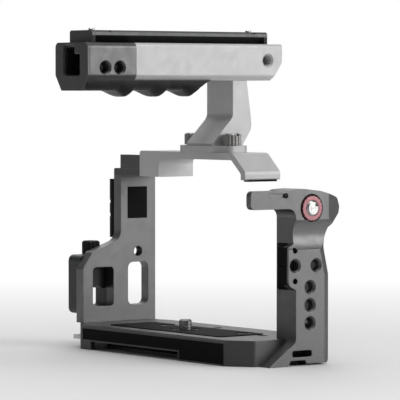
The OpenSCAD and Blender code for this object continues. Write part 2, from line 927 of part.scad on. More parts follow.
module knob_clip() {
    color("#8c8c8e")
    difference() {
        rod_x(lock_clip_x + thread_gap, lock_clip_x + lock_clip_w - thread_gap,
              knob_y, head_z, lock_pad_r - 0.4);
        rod_x(bay_x, side_x, knob_y, head_z, lock_shaft_r - 0.45);
        block(bay_x, side_x, knob_y - 1, knob_y + 1, head_z, head_z + 6);
    }
}

module lock_pad() {
    color("#1b1b1b")
    difference() {
        rod_x(bay_x + 0.6, bay_x + lock_pad_t + lock_socket, knob_y, head_z, lock_pad_r);
        rod_x(bay_x + lock_pad_t + 0.6, side_x, knob_y, head_z, lock_shaft_r + run_gap);
    }
}

// ---- Left side ----

module left_outline() {
    polygon(rounded([
        [clamp_y0 - 2, base_top, 0],
        [left_front, base_top, 0],
        [left_front, deck_z, 0],
        [-left_rear, deck_z, 0],
        [-left_rear, clamp_z0 + clamp_h + 8, 6],
        [clamp_y0 + 4, clamp_z0 + clamp_h + 2, 4],
        [clamp_y0 - 2, clamp_z0 + clamp_h - 6, 4]
    ]));
}

module left_windows() {
    polygon(rounded_box(clamp_y0 + clamp_wall, clamp_y0 + clamp_l - clamp_wall,
                        clamp_z0 + clamp_wall, clamp_z0 + clamp_h - clamp_top_t, 2));
    polygon(rounded_box(-left_rear + port_edge, left_front - port_edge, port_z0, port_z0 + port_h, 3));
}

module at_side_rail_screws() {
    for (side = [-1, 1])
        translate([left_x - side_rail_t + side_screw_in, side_rail_y, side_rail_zc + side * side_screw_dz])
            rotate([0, -90, 0])
                children();
}

module left_side_plate() {
    color("#77787a")
    difference() {
        along_x(left_x, -bay_x) left_outline();
        along_x(left_x - cut, -bay_x + cut) left_windows();
        translate([left_x, side_rail_y, base_top + left_thread_h])
            rotate([0, -90, 0])
                tapped(quarter_d / 2, left_t + cut);
        at_side_rail_screws() csk_hole(screw_d / 2, side_screw_l);
        at_clamp_screws() csk_hole(clamp_screw_r, clamp_screw_l);
        at_cage_screws() mirror([0, 0, 1]) csk_hole(screw_d / 2, cage_screw_l);
        at_top_screws() csk_hole(screw_d / 2, top_screw_l);
        left_pad(-bay_x + cut, thread_gap);
    }
}

// Rail section in X and Y: wide outside, narrow against the plate
module side_rail() {
    color("#3c3c3e")
    difference() {
        along_z(side_rail_z0, side_rail_z1)
            translate([left_x, side_rail_y])
                polygon([
                    [0, -side_rail_w / 2 + 2.6],
                    [0, side_rail_w / 2 - 2.6],
                    [-2, side_rail_w / 2 - 2.6],
                    [-3.6, side_rail_w / 2],
                    [-side_rail_t + 0.8, side_rail_w / 2],
                    [-side_rail_t, side_rail_w / 2 - 0.8],
                    [-side_rail_t, -side_rail_w / 2 + 0.8],
                    [-side_rail_t + 0.8, -side_rail_w / 2],
                    [-3.6, -side_rail_w / 2],
                    [-2, -side_rail_w / 2 + 2.6]
                ]);
        // cross grooves for a clamp's locating key
        for (side = [-1, 1])
            translate([0, 0, side_rail_zc + side * key_dz])
                block(left_x - side_rail_t - cut, left_x - side_rail_t + key_d, side_rail_y - side_rail_w,
                      side_rail_y + side_rail_w, -key_w / 2, key_w / 2);
        at_side_rail_screws() csk_hole(screw_d / 2, side_screw_l);
    }
}

module side_rail_screws() {
    color("#8c8c8e")
    at_side_rail_screws() csk_screw(screw_d / 2, side_screw_l);
}

// ---- Cable clamp ----

module at_clamp_screws() {
    for (side = [-1, 1])
        translate([clamp_x, clamp_yc + side * (clamp_l - clamp_wall) / 2, clamp_z0 + 0.72 * clamp_h])
            rotate([0, -90, 0])
                children();
}

module clamp_frame() {
    color("#4c4c4e")
    difference() {
        along_x(clamp_x, left_x)
            polygon(rounded_box(clamp_y0, clamp_y0 + clamp_l, clamp_z0, clamp_z1, 3));
        along_x(clamp_x - cut, left_x + cut)
            polygon(rounded_box(clamp_y0 + clamp_wall, clamp_y0 + clamp_l - clamp_wall,
                                clamp_z0 + clamp_wall, window_z1, 1));
        rod_z(window_z1 - cut, clamp_z1 + cut, clamp_xc, clamp_yc, clamp_shaft_r + run_gap);
        // groove of the screw's collar, open to the plate
        rod_z(clamp_collar_z, clamp_collar_z + clamp_collar_t, clamp_xc, clamp_yc,
              clamp_collar_r + part_gap);
        block(clamp_xc, left_x + cut, clamp_yc - clamp_collar_r - part_gap,
              clamp_yc + clamp_collar_r + part_gap, clamp_collar_z, clamp_collar_z + clamp_collar_t);
        at_clamp_screws() csk_hole(clamp_screw_r, clamp_screw_l);
    }
}

module clamp_jaw() {
    color("#2c2c2e")
    difference() {
        along_x(clamp_x + 0.6, left_x - part_gap)
            polygon(rounded_box(clamp_y0 + clamp_wall + part_gap,
                                clamp_y0 + clamp_l - clamp_wall - part_gap, jaw_z0, jaw_z1, 0.8));
        rod_z(jaw_z0 + 2.6, window_z1, clamp_xc, clamp_yc, clamp_shaft_r + run_gap);
        // rounded mouth that presses on the cable
        rod_x(clamp_x, left_x + cut, clamp_yc, jaw_z0 - 2.4, 4);
    }
}

module clamp_knob() {
    color("#2c2c2e") {
        translate([clamp_xc, clamp_yc, clamp_z1 + part_gap])
            difference() {
                union() {
                    cylinder(h = clamp_knob_h, r = clamp_knob_r);
                    translate([0, 0, clamp_knob_h])
                        cylinder(h = 0.8, r1 = clamp_knob_r, r2 = clamp_knob_r - 0.8);
                }
                flutes(clamp_knob_r + 0.5, clamp_knob_h, 14, 0.9);
                translate([0, 0, clamp_knob_h - 1]) cylinder(h = 3, r = 1.8, $fn = 6);
            }
        rod_z(jaw_z0 + 3, clamp_z1 + part_gap, clamp_xc, clamp_yc, clamp_shaft_r);
        rod_z(clamp_collar_z + 0.2, clamp_collar_z + clamp_collar_t - 0.2, clamp_xc, clamp_yc,
              clamp_collar_r);
    }
}

module clamp_screws() {
    color("#8c8c8e")
    at_clamp_screws() csk_screw(clamp_screw_r, clamp_screw_l);
}

// ---- Top-left plate and cold shoe ----

module at_top_screws() {
    for (y = [-left_rear + 5, left_front - 4])
        translate([left_x + left_t / 2, y, plate_z])
            children();
}

module at_shoe_screws() {
    for (x = [shoe_x0 + 4, shoe_x0 + 10.7])
        translate([x, side_rail_y, plate_z + shoe_floor])
            children();
}

module top_left_plate() {
    color("#505153")
    difference() {
        union() {
            block(left_x, bridge_x, -left_rear, left_front, deck_z, plate_z);
            block(bridge_x - cut, bridge_x + tongue_l, -left_rear + tongue_in, left_front - tongue_in,
                  deck_z, deck_z + tongue_t);
        }
        at_top_screws() csk_hole(screw_d / 2, top_screw_l);
        at_shoe_screws() csk_hole(screw_d / 2, shoe_screw_l);
        at_bridge_screws() csk_hole(screw_d / 2, bridge_screw_l);
        // cut along the outer edge
        translate([left_x, 0, plate_z])
            rotate([0, 45, 0])
                cube([1, 100, 1], center = true);
    }
}

// Shoe whose channel opens to the left
module cold_shoe() {
    color("#505153")
    difference() {
        block(shoe_x0, bridge_x, -left_rear, left_front, plate_z, plate_z + shoe_h);
        // channel and the gap between its lips
        block(shoe_x0 - cut, bridge_x - shoe_stop, side_rail_y - shoe_slot / 2, side_rail_y + shoe_slot / 2,
              plate_z + shoe_floor, plate_z + shoe_h - shoe_lip_t);
        block(shoe_x0 - cut, bridge_x - shoe_stop, side_rail_y - shoe_gap / 2, side_rail_y + shoe_gap / 2,
              plate_z + shoe_floor, plate_z + shoe_h + cut);
        at_shoe_screws() csk_hole(screw_d / 2, shoe_screw_l);
    }
}

module shoe_screws() {
    color("#8c8c8e")
    at_shoe_screws() csk_screw(screw_d / 2, shoe_screw_l);
}

// ---- Bridge and handle foot ----

module bridge_section() {
    difference() {
        polygon(rounded([
            [bridge_x, deck_z, 0],
            [bridge_reach, deck_z, 0.8],
            [bridge_reach, bridge_z - bridge_slope + 1, 3],
            [bridge_reach - bridge_slope, bridge_z, 4],
            [bridge_x, bridge_z, 1.5]
        ]));
        polygon(rounded([
            [bridge_x + tongue_l + 2, deck_z - cut, 0],
            [bridge_reach - bridge_t, deck_z - cut, 0],
            [bridge_reach - bridge_t, bridge_z - bridge_slope, 2],
            [bridge_reach - bridge_slope - 1, bridge_z - bridge_t, 2],
            [bridge_x + tongue_l + 2, bridge_z - bridge_t, 3]
        ]));
    }
}

module at_bridge_screws() {
    for (y = [-left_rear + 6.5, left_front - 6.5])
        translate([bridge_x + tongue_l / 2, y, deck_z])
            mirror([0, 0, 1])
                children();
}

module top_bridge() {
    color("#c6c6c7")
    difference() {
        along_y(-left_rear, left_front) bridge_section();
        // pocket for the plate's tongue
        block(bridge_x - cut, bridge_x + tongue_l + part_gap, -left_rear + tongue_in - thread_gap,
              left_front - tongue_in + thread_gap, deck_z - cut, deck_z + tongue_t);
        at_bridge_screws() csk_hole(screw_d / 2, bridge_screw_l);
        at_thumbs() rod_z(-bridge_t - foot_t - cut, 0, 0, 0, thumb_shaft_r + run_gap);
        // accessory thread beside the foot
        translate([bridge_x + 12, side_rail_y, bridge_z]) tapped(quarter_d / 2, 7);
    }
}

module bridge_screws() {
    color("#8c8c8e")
    at_bridge_screws() csk_screw(screw_d / 2, bridge_screw_l);
}

module at_thumbs() {
    for (side = [-1, 1])
        translate([side * thumb_x, thumb_y, foot_top])
            children();
}

module handle_foot() {
    color("#c6c6c7")
    difference() {
        along_z(bridge_z, foot_top)
            polygon(rounded([
                [-foot_w / 2, thumb_y - 5, 4],
                [-stanchion_w / 2 - 1, -left_rear, 2],
                [stanchion_w / 2 + 1, -left_rear, 2],
                [foot_w / 2, thumb_y - 5, 4],
                [foot_w / 2, thumb_y + 5, 4],
                [stanchion_w / 2 + 1, left_front, 2],
                [-stanchion_w / 2 - 1, left_front, 2],
                [-foot_w / 2, thumb_y + 5, 4]
            ]));
        at_thumbs() rod_z(-foot_t - cut, cut, 0, 0, thumb_shaft_r + run_gap);
        stanchion_screw_holes();
    }
}

module foot_knob(side) {
    translate([side * thumb_x, thumb_y, foot_top]) {
        translate([0, 0, part_gap])
            difference() {
                union() {
                    cylinder(h = thumb_h, r = thumb_d / 2);
                    translate([0, 0, thumb_h])
                        cylinder(h = 0.7, r1 = thumb_d / 2, r2 = thumb_d / 2 - 0.7);
                }
                flutes(thumb_d / 2 + 0.4, thumb_h, 16, 0.75);
                // coin slot
                translate([-thumb_d, -0.6, thumb_h - 0.4]) cube([2 * thumb_d, 1.2, 4]);
            }
        translate([0, 0, -foot_t - bridge_t])
            cylinder(h = foot_t + bridge_t + part_gap, r = thumb_shaft_r);
    }
}

module foot_knob_left() {
    color("#b2b2b4") foot_knob(-1);
}

module foot_knob_right() {
    color("#b2b2b4") foot_knob(1);
}

// Screws that join the foot to the stanchion from below, and the bar to it from above
module at_foot_screws() {
    for (side = [-1, 1])
        translate([side * foot_screw_x, foot_screw_y, bridge_z])
            mirror([0, 0, 1])
                children();
}

module at_bar_screws() {
    for (side = [-1, 1])
        translate([side * bar_screw_x, stanchion_y + stanchion_d / 2, bar_top])
            children();
}

module stanchion_screws() {
    color("#8c8c8e") {
        at_foot_screws() csk_screw(screw_d / 2, foot_screw_l);
        at_bar_screws() csk_screw(screw_d / 2, stanchion_screw_l);
    }
}

module stanchion_screw_holes() {
    at_foot_screws() csk_hole(screw_d / 2, foot_screw_l);
    at_bar_screws() csk_hole(screw_d / 2, stanchion_screw_l);
}

module stanchion() {
    color("#c6c6c7")
    difference() {
        stanchion_body();
        stanchion_screw_holes();
    }
}

module stanchion_body() {
    intersection() {
        along_x(-stanchion_w / 2, stanchion_w / 2)
            polygon(rounded([
                [-left_rear + 1, foot_top, 0],
                [left_front - 2, foot_top, 0],
                [stanchion_y + stanchion_d + 3.5, foot_top + 9, 5],
                [stanchion_y + stanchion_d, bar_z, 0],
                [stanchion_y, bar_z, 0],
                [stanchion_y, foot_top + 14, 5],
                [-left_rear + 1, foot_top + 1, 0.5]
            ]));
        // corners rounded as seen from above
        along_z(foot_top - cut, bar_z)
            polygon(rounded_box(-stanchion_w / 2, stanchion_w / 2, -left_rear,
                                stanchion_y + stanchion_d + 4, 2));
    }
}

// ---- Handle ----

// Section of the handle in X and Z, down to the bar's lower face
function handle_section(half, top_r) = rounded([
    [-half + lower_in, bar_z, 0],
    [half - lower_in, bar_z, 0],
    [half, bar_z + lower_side, 1.5],
    [half, bar_top, top_r],
    [-half, bar_top, top_r],
    [-half, bar_z + lower_side, 1.5]
]);

module handle_bar() {
    color("#c6c6c7")
    difference() {
        union() {
            intersection() {
                along_y(sleeve_front, bar_front)
                    polygon(handle_section(bar_w / 2, 1.5));
                along_x(-bar_w, bar_w)
                    polygon(rounded([
                        [sleeve_front - cut, bar_z - cut, 0],
                        [bar_front - bar_nose_l, bar_z - cut, 0],
                        [bar_front - bar_nose_l, bar_z, 0.5],
                        [bar_front, bar_z + bar_nose_h, 3],
                        [bar_front, bar_top + cut, 0],
                        [sleeve_front - cut, bar_top + cut, 0]
                    ]));
            }
            along_y(sleeve_front - tail_l, sleeve_front + cut)
                polygon(rounded_box(-mouth_w / 2 + part_gap, mouth_w / 2 - part_gap,
                                    mouth_z0 + part_gap, mouth_z1 - part_gap, mouth_r));
        }
        at_rail_screws() csk_hole(screw_d / 2, rail_screw_l);
        at_grip_screws() csk_hole(screw_d / 2, grip_screw_l);
        stanchion_screw_holes();
        // accessory threads on both sides of the nose
        for (side = [-1, 1])
            translate([side * bar_w / 2, bar_front - bar_thread_in, bar_z + bar_h * 0.55])
                rotate([0, side * 90, 0])
                    tapped(quarter_d / 2, bar_thread_l);
    }
}

module at_rail_screws() {
    for (i = [0:rail_screw_count - 1])
        translate([0, rail_first + i * rail_pitch, rail_top])
            children();
}

module sleeve_mouth(y0, y1) {
    along_y(y0, y1) polygon(rounded_box(-mouth_w / 2, mouth_w / 2, mouth_z0, mouth_z1, mouth_r));
}

module rear_sleeve() {
    color("#84868a")
    difference() {
        along_y(sleeve_rear, sleeve_front) polygon(handle_section(sleeve_w / 2, 2.5));
        sleeve_mouth(sleeve_rear - cut, sleeve_front + cut);
        for (side = [-1, 1], i = [0, 1])
            translate([side * sleeve_w / 2, side_hole_y + i * side_hole_pitch, side_hole_z])
                rotate([0, side * 90, 0])
                    tapped(quarter_d / 2, side_hole_l);
    }
}

module cap_mouth(gap) {
    polygon(rounded([
        [-mouth_w / 2 - gap, mouth_z0 - gap, mouth_r],
        [mouth_w / 2 + gap, mouth_z0 - gap, mouth_r],
        [mouth_w / 2 + gap, mouth_z1 - mouth_step_h + gap, 0.6],
        [mouth_w / 2 - mouth_step_w + gap, mouth_z1 - mouth_step_h + gap, 0.6],
        [mouth_w / 2 - mouth_step_w + gap, mouth_z1 + mouth_up + gap, 0.6],
        [-mouth_w / 2 - gap, mouth_z1 + mouth_up + gap, mouth_r]
    ]));
}

module rear_cap() {
    color("#58595b")
    difference() {
        along_y(-handle_rear, sleeve_rear)
            polygon(rounded([
                [-sleeve_w / 2 + keel_in, bar_z - keel_h, 1],
                [sleeve_w / 2 - keel_in, bar_z - keel_h, 1],
                [sleeve_w / 2, bar_z + lower_side, 1.5],
                [sleeve_w / 2, bar_top, 2.5],
                [-sleeve_w / 2, bar_top, 2.5],
                [-sleeve_w / 2, bar_z + lower_side, 1.5]
            ]));
        // mouth with a lug in its upper corner
        along_y(-handle_rear - cut, sleeve_rear + cut) cap_mouth(0);
        along_y(-handle_rear - cut, -handle_rear + 0.4) cap_mouth(0.4);
    }
}

module at_grip_screws() {
    for (y = grip_screw_y)
        translate([0, y, bar_z - keel_h + grip_screw_in])
            mirror([0, 0, 1])
                children();
}

module rubber_grip() {
    color("#2a2a2b")
    difference() {
        intersection() {
            along_x(-sleeve_w / 2, sleeve_w / 2)
                polygon(rounded([
                    [sleeve_rear, bar_z, 0],
                    [sleeve_rear, bar_z - keel_h, 0],
                    for (y = [bump_y[0], bump_y[1]])
                        each [
                            [y - bump_half, bar_z - keel_h, 3],
                            [y, bar_z - grip_h, 1.4],
                            [y + bump_half, bar_z - keel_h, 3]
                        ],
                    [bump_y[2] - bump_half, bar_z - keel_h, 3],
                    [bump_y[2], bar_z - grip_h, 1.4],
                    [grip_front - grip_slope, bar_z - keel_h, 2],
                    [grip_front, bar_z, 0]
                ]));
            along_y(sleeve_rear - cut, 0)
                polygon(rounded([
                    [-sleeve_w / 2 + keel_in + 1, bar_z - grip_h, 1.2],
                    [sleeve_w / 2 - keel_in - 1, bar_z - grip_h, 1.2],
                    [sleeve_w / 2 - keel_in, bar_z - keel_h, 1],
                    [sleeve_w / 2 - lower_in, bar_z, 0],
                    [-sleeve_w / 2 + lower_in, bar_z, 0],
                    [-sleeve_w / 2 + keel_in, bar_z - keel_h, 1]
                ]));
        }
        at_grip_screws() csk_hole(screw_d / 2, grip_screw_l);
        at_grip_screws() cylinder(h = 6, r = screw_d);
    }
}

module grip_screws() {
    color("#8c8c8e")
    at_grip_screws() csk_screw(screw_d / 2, grip_screw_l);
}

// ---- Top rail ----

module rail_section() {
    polygon([
        [-rail_neck / 2, bar_top], [rail_neck / 2, bar_top],
        [rail_w / 2, rail_top - rail_flange], [rail_w / 2, rail_top - rail_bevel],
        [rail_w / 2 - rail_bevel, rail_top], [-rail_w / 2 + rail_bevel, rail_top],
        [-rail_w / 2, rail_top - rail_bevel], [-rail_w / 2, rail_top - rail_flange]
    ]);
}

module top_rail() {
    color("#58595b")
    difference() {
        union() {
            along_y(rail_rear, rail_front) rail_section();
            block(-rail_w / 2, rail_w / 2, rail_rear, rail_rear + rail_end, bar_top, rail_top - rail_bevel);
            block(-rail_w / 2, rail_w / 2, rail_front - rail_end, rail_front, bar_top,
                  rail_top - rail_bevel);
        }
        at_rail_screws() csk_hole(screw_d / 2, rail_screw_l);
        for (y = rail_thread_y)
            translate([0, y, rail_top]) tapped(quarter_d / 2, rail_h + cut);
        for (y = stop_y) {
            rod_z(bar_top - cut, stop_z, 0, y, stop_well_r);
            rod_z(stop_z - cut, rail_top + cut, 0, y, stop_r + run_gap);
        }
        // shallow groove in the top face, between the two front screws
        translate([0, rail_last - 0.5 * rail_pitch, rail_top - rail_groove_d])
            linear_extrude(height = rail_groove_d + cut)
                polygon(rounded_box(-rail_groove_w / 2, rail_groove_w / 2, -rail_groove_l / 2,
                                    rail_groove_l / 2, 1.6));
        // grooves across the flanges for a clamp's locating key
        for (y = rail_key_y)
            block(-rail_w, rail_w, y - rail_key_w / 2, y + rail_key_w / 2,
                  rail_top - rail_key_d, rail_top + cut);
    }
}

module rail_screws() {
    color("#8c8c8e")
    at_rail_screws() csk_screw(screw_d / 2, rail_screw_l);
}

module stop_pin(y) {
    translate([0, y, 0]) {
        rod_z(stop_collar_z - stop_collar_t, rail_top + stop_up - stop_tip, 0, 0, stop_r);
        translate([0, 0, rail_top + stop_up - stop_tip])
            cylinder(h = stop_tip, r1 = stop_r, r2 = stop_r - stop_tip);
        rod_z(stop_collar_z - stop_collar_t, stop_collar_z, 0, 0, stop_collar_r);
    }
}

module stop_pin_rear() {
    color("#b4b4b6") stop_pin(stop_y[0]);
}

module stop_pin_front() {
    color("#b4b4b6") stop_pin(stop_y[1]);
}

// Coil spring: rings of points along a helix, skinned into a tube
function spring_point(i, j) =
    let (
        a = 360 * i / spring_steps,
        b = 360 * j / spring_sides,
        r = spring_r + spring_wire * cos(b)
    )
    [r * cos(a), r * sin(a),
     spring_z0 + (spring_z1 - spring_z0) * i / (spring_turns * spring_steps) + spring_wire * sin(b)];

module spring(y) {
    rings = spring_turns * spring_steps;
    last = spring_sides - 1;
    points = [for (i = [0:rings], j = [0:last]) spring_point(i, j)];
    skin = [
        for (i = [0:rings - 1], j = [0:last])
            [i * spring_sides + j, i * spring_sides + (j + 1) % spring_sides,
             (i + 1) * spring_sides + (j + 1) % spring_sides, (i + 1) * spring_sides + j]
    ];
    first_end = [for (j = [last:-1:0]) j];
    far_end = [for (j = [0:last]) rings * spring_sides + j];
    translate([0, y, 0])
        polyhedron(points, concat(skin, [first_end, far_end]));
}

module stop_spring_rear() {
    color("#c8c8ca") spring(stop_y[0]);
}

module stop_spring_front() {
    color("#c8c8ca") spring(stop_y[1]);
}

// ---- Camera screw and screwdriver ----

module camera_screw() {
    color("#a9a9ab")
    difference() {
        union() {
            rod_z(collar_z - collar_t, collar_z, 0, screw_y, collar_r);
            rod_z(collar_z - 1, base_top + stud_up - stud_tip, 0, screw_y, stud_r);
            translate([0, screw_y, base_top + stud_up - stud_tip])
                cylinder(h = stud_tip, r1 = stud_r, r2 = stud_r - stud_tip);
            // lug that holds the D-ring
            block(-2.4, 2.4, screw_y - 2.2, screw_y + 2.2, 0.4, collar_z - collar_t + 0.5);
        }
        rod_x(-4, 4, screw_y, ring_z, wire_r + run_gap);
        // groove of the clip
        difference() {
            rod_z(clip_z, clip_z + clip_w, 0, screw_y, stud_r + cut);
            rod_z(clip_z - cut, clip_z + clip_w + cut, 0, screw_y, stud_r - 0.6);
        }
        // coin slots beside the lug
        for (side = [-1, 1])
            block(side * 5 - 1.6, side * 5 + 1.6, screw_y - 0.6, screw_y + 0.6,
                  0, collar_z - collar_t + 0.9);
    }
}

module screw_clip() {
    color("#8c8c8e")
    difference() {
        rod_z(clip_z + thread_gap, clip_z + clip_w - thread_gap, 0, screw_y, clip_r - 0.2);
        rod_z(0, base_top + cut, 0, screw_y, stud_r - 0.5);
        block(-1.6, 1.6, screw_y, screw_y + 10, base_top - 2, base_top);
    }
}

module d_ring() {
    color("#a9a9ab")
    translate([0, screw_y, ring_z]) {
        rotate_extrude(angle = 180)
            translate([ring_r, 0])
                circle(r = wire_r, $fn = 24);
        rod_x(-ring_r, ring_r, 0, 0, wire_r);
        for (side = [-1, 1])
            translate([side * ring_r, 0, 0]) sphere(r = wire_r, $fn = 24);
    }
}

module flat_tool() {
    color("#9a9a9c")
    difference() {
        along_z(foot_h + part_gap / 2, foot_h + tool_t + part_gap / 2)
            polygon(rounded([
                [left_x + 1, tool_y - tool_w / 2, 1],
                [left_x + tool_l - 14, tool_y - tool_w / 2, 2],
                [left_x + tool_l - 10, tool_y - 2, 2],
                [left_x + tool_l - 1, tool_y - 2, 0],
                [left_x + tool_l - 1, tool_y + 2, 0],
                [left_x + tool_l - 10, tool_y + 2, 2],
                [left_x + tool_l - 14, tool_y + tool_w / 2, 2],
                [left_x + 1, tool_y + tool_w / 2, 1]
            ]));
        rod_z(0, 10, left_x + 4.6, tool_y, 1.8);
        for (i = [0:4])
            block(left_x + tool_tab + 2 * i, left_x + tool_tab + 0.8 + 2 * i, tool_y - 10, tool_y + 10,
                  foot_h - cut, foot_h + part_gap / 2 + 0.4);
    }
}

module tool_magnets() {
    color("#d0d0d2")
    at_magnets() cylinder(h = magnet_t, r = magnet_r);
}

bottom_plate();
grip_side_plate();
left_side_plate();
top_left_plate();
cold_shoe();
top_bridge();
base_pad();
rear_strip();
side_pads();
palm_pad();
cage_screws();
shoe_screws();
bridge_screws();
lock_knob();
knob_ring();
knob_clip();
lock_pad();
camera_screw();
screw_clip();
d_ring();
flat_tool();
tool_magnets();
handle_foot();
foot_knob_left();
foot_knob_right();
stanchion();
stanchion_screws();
handle_bar();
top_rail();
rail_screws();
stop_pin_rear();
stop_pin_front();
stop_spring_rear();
stop_spring_front();
rear_sleeve();
rear_cap();
rubber_grip();
grip_screws();
side_rail();
side_rail_screws();
clamp_frame();
clamp_jaw();
clamp_knob();
clamp_screws();
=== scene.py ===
"""Looks of a camera cage with a handle rig: finishes, threads, finger grip, springs and stage."""

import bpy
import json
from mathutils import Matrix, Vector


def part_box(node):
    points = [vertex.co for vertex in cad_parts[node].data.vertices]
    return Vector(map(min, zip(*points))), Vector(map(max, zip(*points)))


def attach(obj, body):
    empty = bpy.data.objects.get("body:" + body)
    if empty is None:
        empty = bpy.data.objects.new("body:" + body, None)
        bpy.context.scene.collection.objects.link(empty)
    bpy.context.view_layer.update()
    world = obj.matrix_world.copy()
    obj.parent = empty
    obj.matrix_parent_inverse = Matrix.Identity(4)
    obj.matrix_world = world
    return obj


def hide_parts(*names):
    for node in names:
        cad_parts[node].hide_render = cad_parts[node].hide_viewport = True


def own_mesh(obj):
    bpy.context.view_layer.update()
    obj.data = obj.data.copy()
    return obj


bl_info = {
    "name": "Camera cage looks",
    "version": (1, 0, 0),
    "blender": (4, 5, 0),
    "location": "View3D > Sidebar > Cage",
    "description": "Finishes, threads, finger grip, springs and stage of a camera cage",
    "category": "Object",
}

import json
import math

import bmesh
import bpy
import numpy as np
from mathutils import Vector

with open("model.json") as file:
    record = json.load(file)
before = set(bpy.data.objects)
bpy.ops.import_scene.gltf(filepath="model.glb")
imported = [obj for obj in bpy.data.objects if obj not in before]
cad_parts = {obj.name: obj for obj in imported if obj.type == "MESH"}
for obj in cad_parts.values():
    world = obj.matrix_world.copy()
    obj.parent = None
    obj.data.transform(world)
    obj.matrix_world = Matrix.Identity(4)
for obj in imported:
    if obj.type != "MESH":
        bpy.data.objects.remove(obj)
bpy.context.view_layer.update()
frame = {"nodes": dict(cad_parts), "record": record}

FULL_TURN = 2 * math.pi
MM = 0.001


# ---- Fixed sizes and names ----

FLUSH = 0.01 * MM  # gap between a new piece and the face that it lies against
SMOOTH_ANGLE = math.radians(35.0)  # an edge that turns by more stays sharp
RAIL_FLANGE = 2.4 * MM  # height of the top rail's flange above its undercut, whose sides get painted shade

# Finishes
PEBBLE_HEIGHT = 0.05 * MM  # height of the rubber's pebbled skin
MARK_HEIGHT = 0.004 * MM  # height of the steel's brushing and lathe rings
BRUSHING = (2200.0, 2200.0, 260.0)  # how fine the brushing is along X, Y and Z
SHADE_FADE_HEIGHT = 0.1 * MM  # height over which the painted shade in the undercut fades in

# Threads
PALE_THREADS = ("bar_thread", "bridge_thread")  # cut in the pale pieces
BLIND_THREADS = ("sleeve_thread",)  # their holes get an inner end
THREAD_STEPS = 28  # steps in a turn of a ridge
THREAD_ROOT = 0.03 * MM  # how far a ridge's foot goes into its wall
THREAD_HALF_WIDTH = 0.36  # half the width of a ridge's foot, as a share of the pitch
THREAD_RUN_OUT = 0.3  # share of a turn in which a ridge rises or falls
WALL_TOLERANCE = 0.02 * MM  # how far a wall's point may lie from its bore
WALL_MARGIN = 1.0 * MM  # how far past its stated length a bore's wall is looked for
STUD_START = 0.1 * MM  # from the base's upper face to the thread of the stud
STUD_TIP = 0.6 * MM  # plain end of the stud above its thread
DRILL_CONE = 0.62  # depth of the cone that a drill leaves, as a share of the hole's radius
DRILL_POINT = 0.02  # radius of the cone's point, as a share of the hole's
DRILL_WALL = 0.1 * MM  # what is left behind the cone's point

# Finger grip
GRIP_STATIONS = 190  # sections along the grip
GRIP_STEPS = 12  # steps in half a section
FIRST_BUMP = 27.2 * MM  # from the grip's rear end to its rearmost bump
LAST_BUMP = 7.0 * MM  # from the foremost bump to the grip's front end
NOSE = 5.1 * MM  # length of the slanted front end
NOSE_EASE = 0.8 * MM  # how far into the slanted end the last bump runs out
NOSE_DEPTH = 0.78  # depth there, as a share of the grip's depth
TIP_DEPTH = 0.2 * MM  # depth of the grip's front end
SIDE_LEAN = 0.3 * MM  # how much the grip's sides lean in
SIDE_HEIGHT = 0.45  # how far down they stay almost upright, as a share of the depth
BELLY = 5.0 * MM  # half the width of the flat belly between the bumps
SHOULDER = 0.76  # where the side turns into the belly, as a share of the half width
BUMP_ROUNDING = 0.4  # how fast the shoulder moves in where the grip is deeper

# Holes of the grip's screws
BORE_GAP = 0.15 * MM  # gap round a screw's head
CONE_GAP = 0.05 * MM  # gap round the head's rim in the countersink
HEAD_OVERHANG = 1.3 * MM  # how much the head stands out over the shaft
CONE_HEIGHT = 1.35 * MM  # height of the countersink
BORE_BELOW = 6.0 * MM  # how far the cutter reaches below the head
SHAFT_ABOVE = 8.0 * MM  # how far it reaches above the head's lower face

# Stage
SENSOR = 36.0  # width of the camera's sensor, in millimetres
FAR_CLIP = 20.0  # how far the camera sees, in metres
BACKGROUND = 1.0  # brightness of the seen background
WORLD_LIGHT = 0.18  # brightness of the world as a light
FLOOR_FADE = (0.03, 0.14)  # where the floor's fade begins and ends, as shares of its radius
FLOOR_ROUGHNESS = 0.75
FLOOR_SHADES = ((0.80, 0.80, 0.80), (0.84, 0.84, 0.84))  # its cloudy grey, darkest and lightest
FLOOR_MIRRORED = (0.45, 0.45, 0.45)  # its colour in reflections, outside the bright zones
LEFT_ZONE = (-0.2, -0.05)  # X where the left bright zone begins to fade, and where it ends
RIGHT_CENTRE = (0.2, 0.14, 0.0)  # middle of the right bright zone
RIGHT_ZONE = (0.08, 0.18)  # radius where that zone begins to fade, and where it ends
AIM = Vector((0.0, -0.02, 0.08))  # where the lamps point
LAMPS = (  # name, place, size in metres, power in watts
    ("key_light", (0.85, 0.62, 0.45), (0.7, 0.7), 5.9),
    ("low_light", (0.87, 0.64, 0.13), (0.3, 0.2), 0.22),
    ("left_light", (-1.1, 0.6, 0.85), (1.2, 1.1), 5.4),
    ("top_light", (0.0, 0.0, 1.6), (1.4, 1.4), 13.5),
)


# ---- Settings that a user would change ----

def colour_property(name, description, default):
    return bpy.props.FloatVectorProperty(
        name=name, description=description, default=default,
        subtype="COLOR", size=3, min=0.0, max=1.0)


def length_property(name, description, default):
    return bpy.props.FloatProperty(
        name=name, description=description, default=default, subtype="DISTANCE", unit="LENGTH")


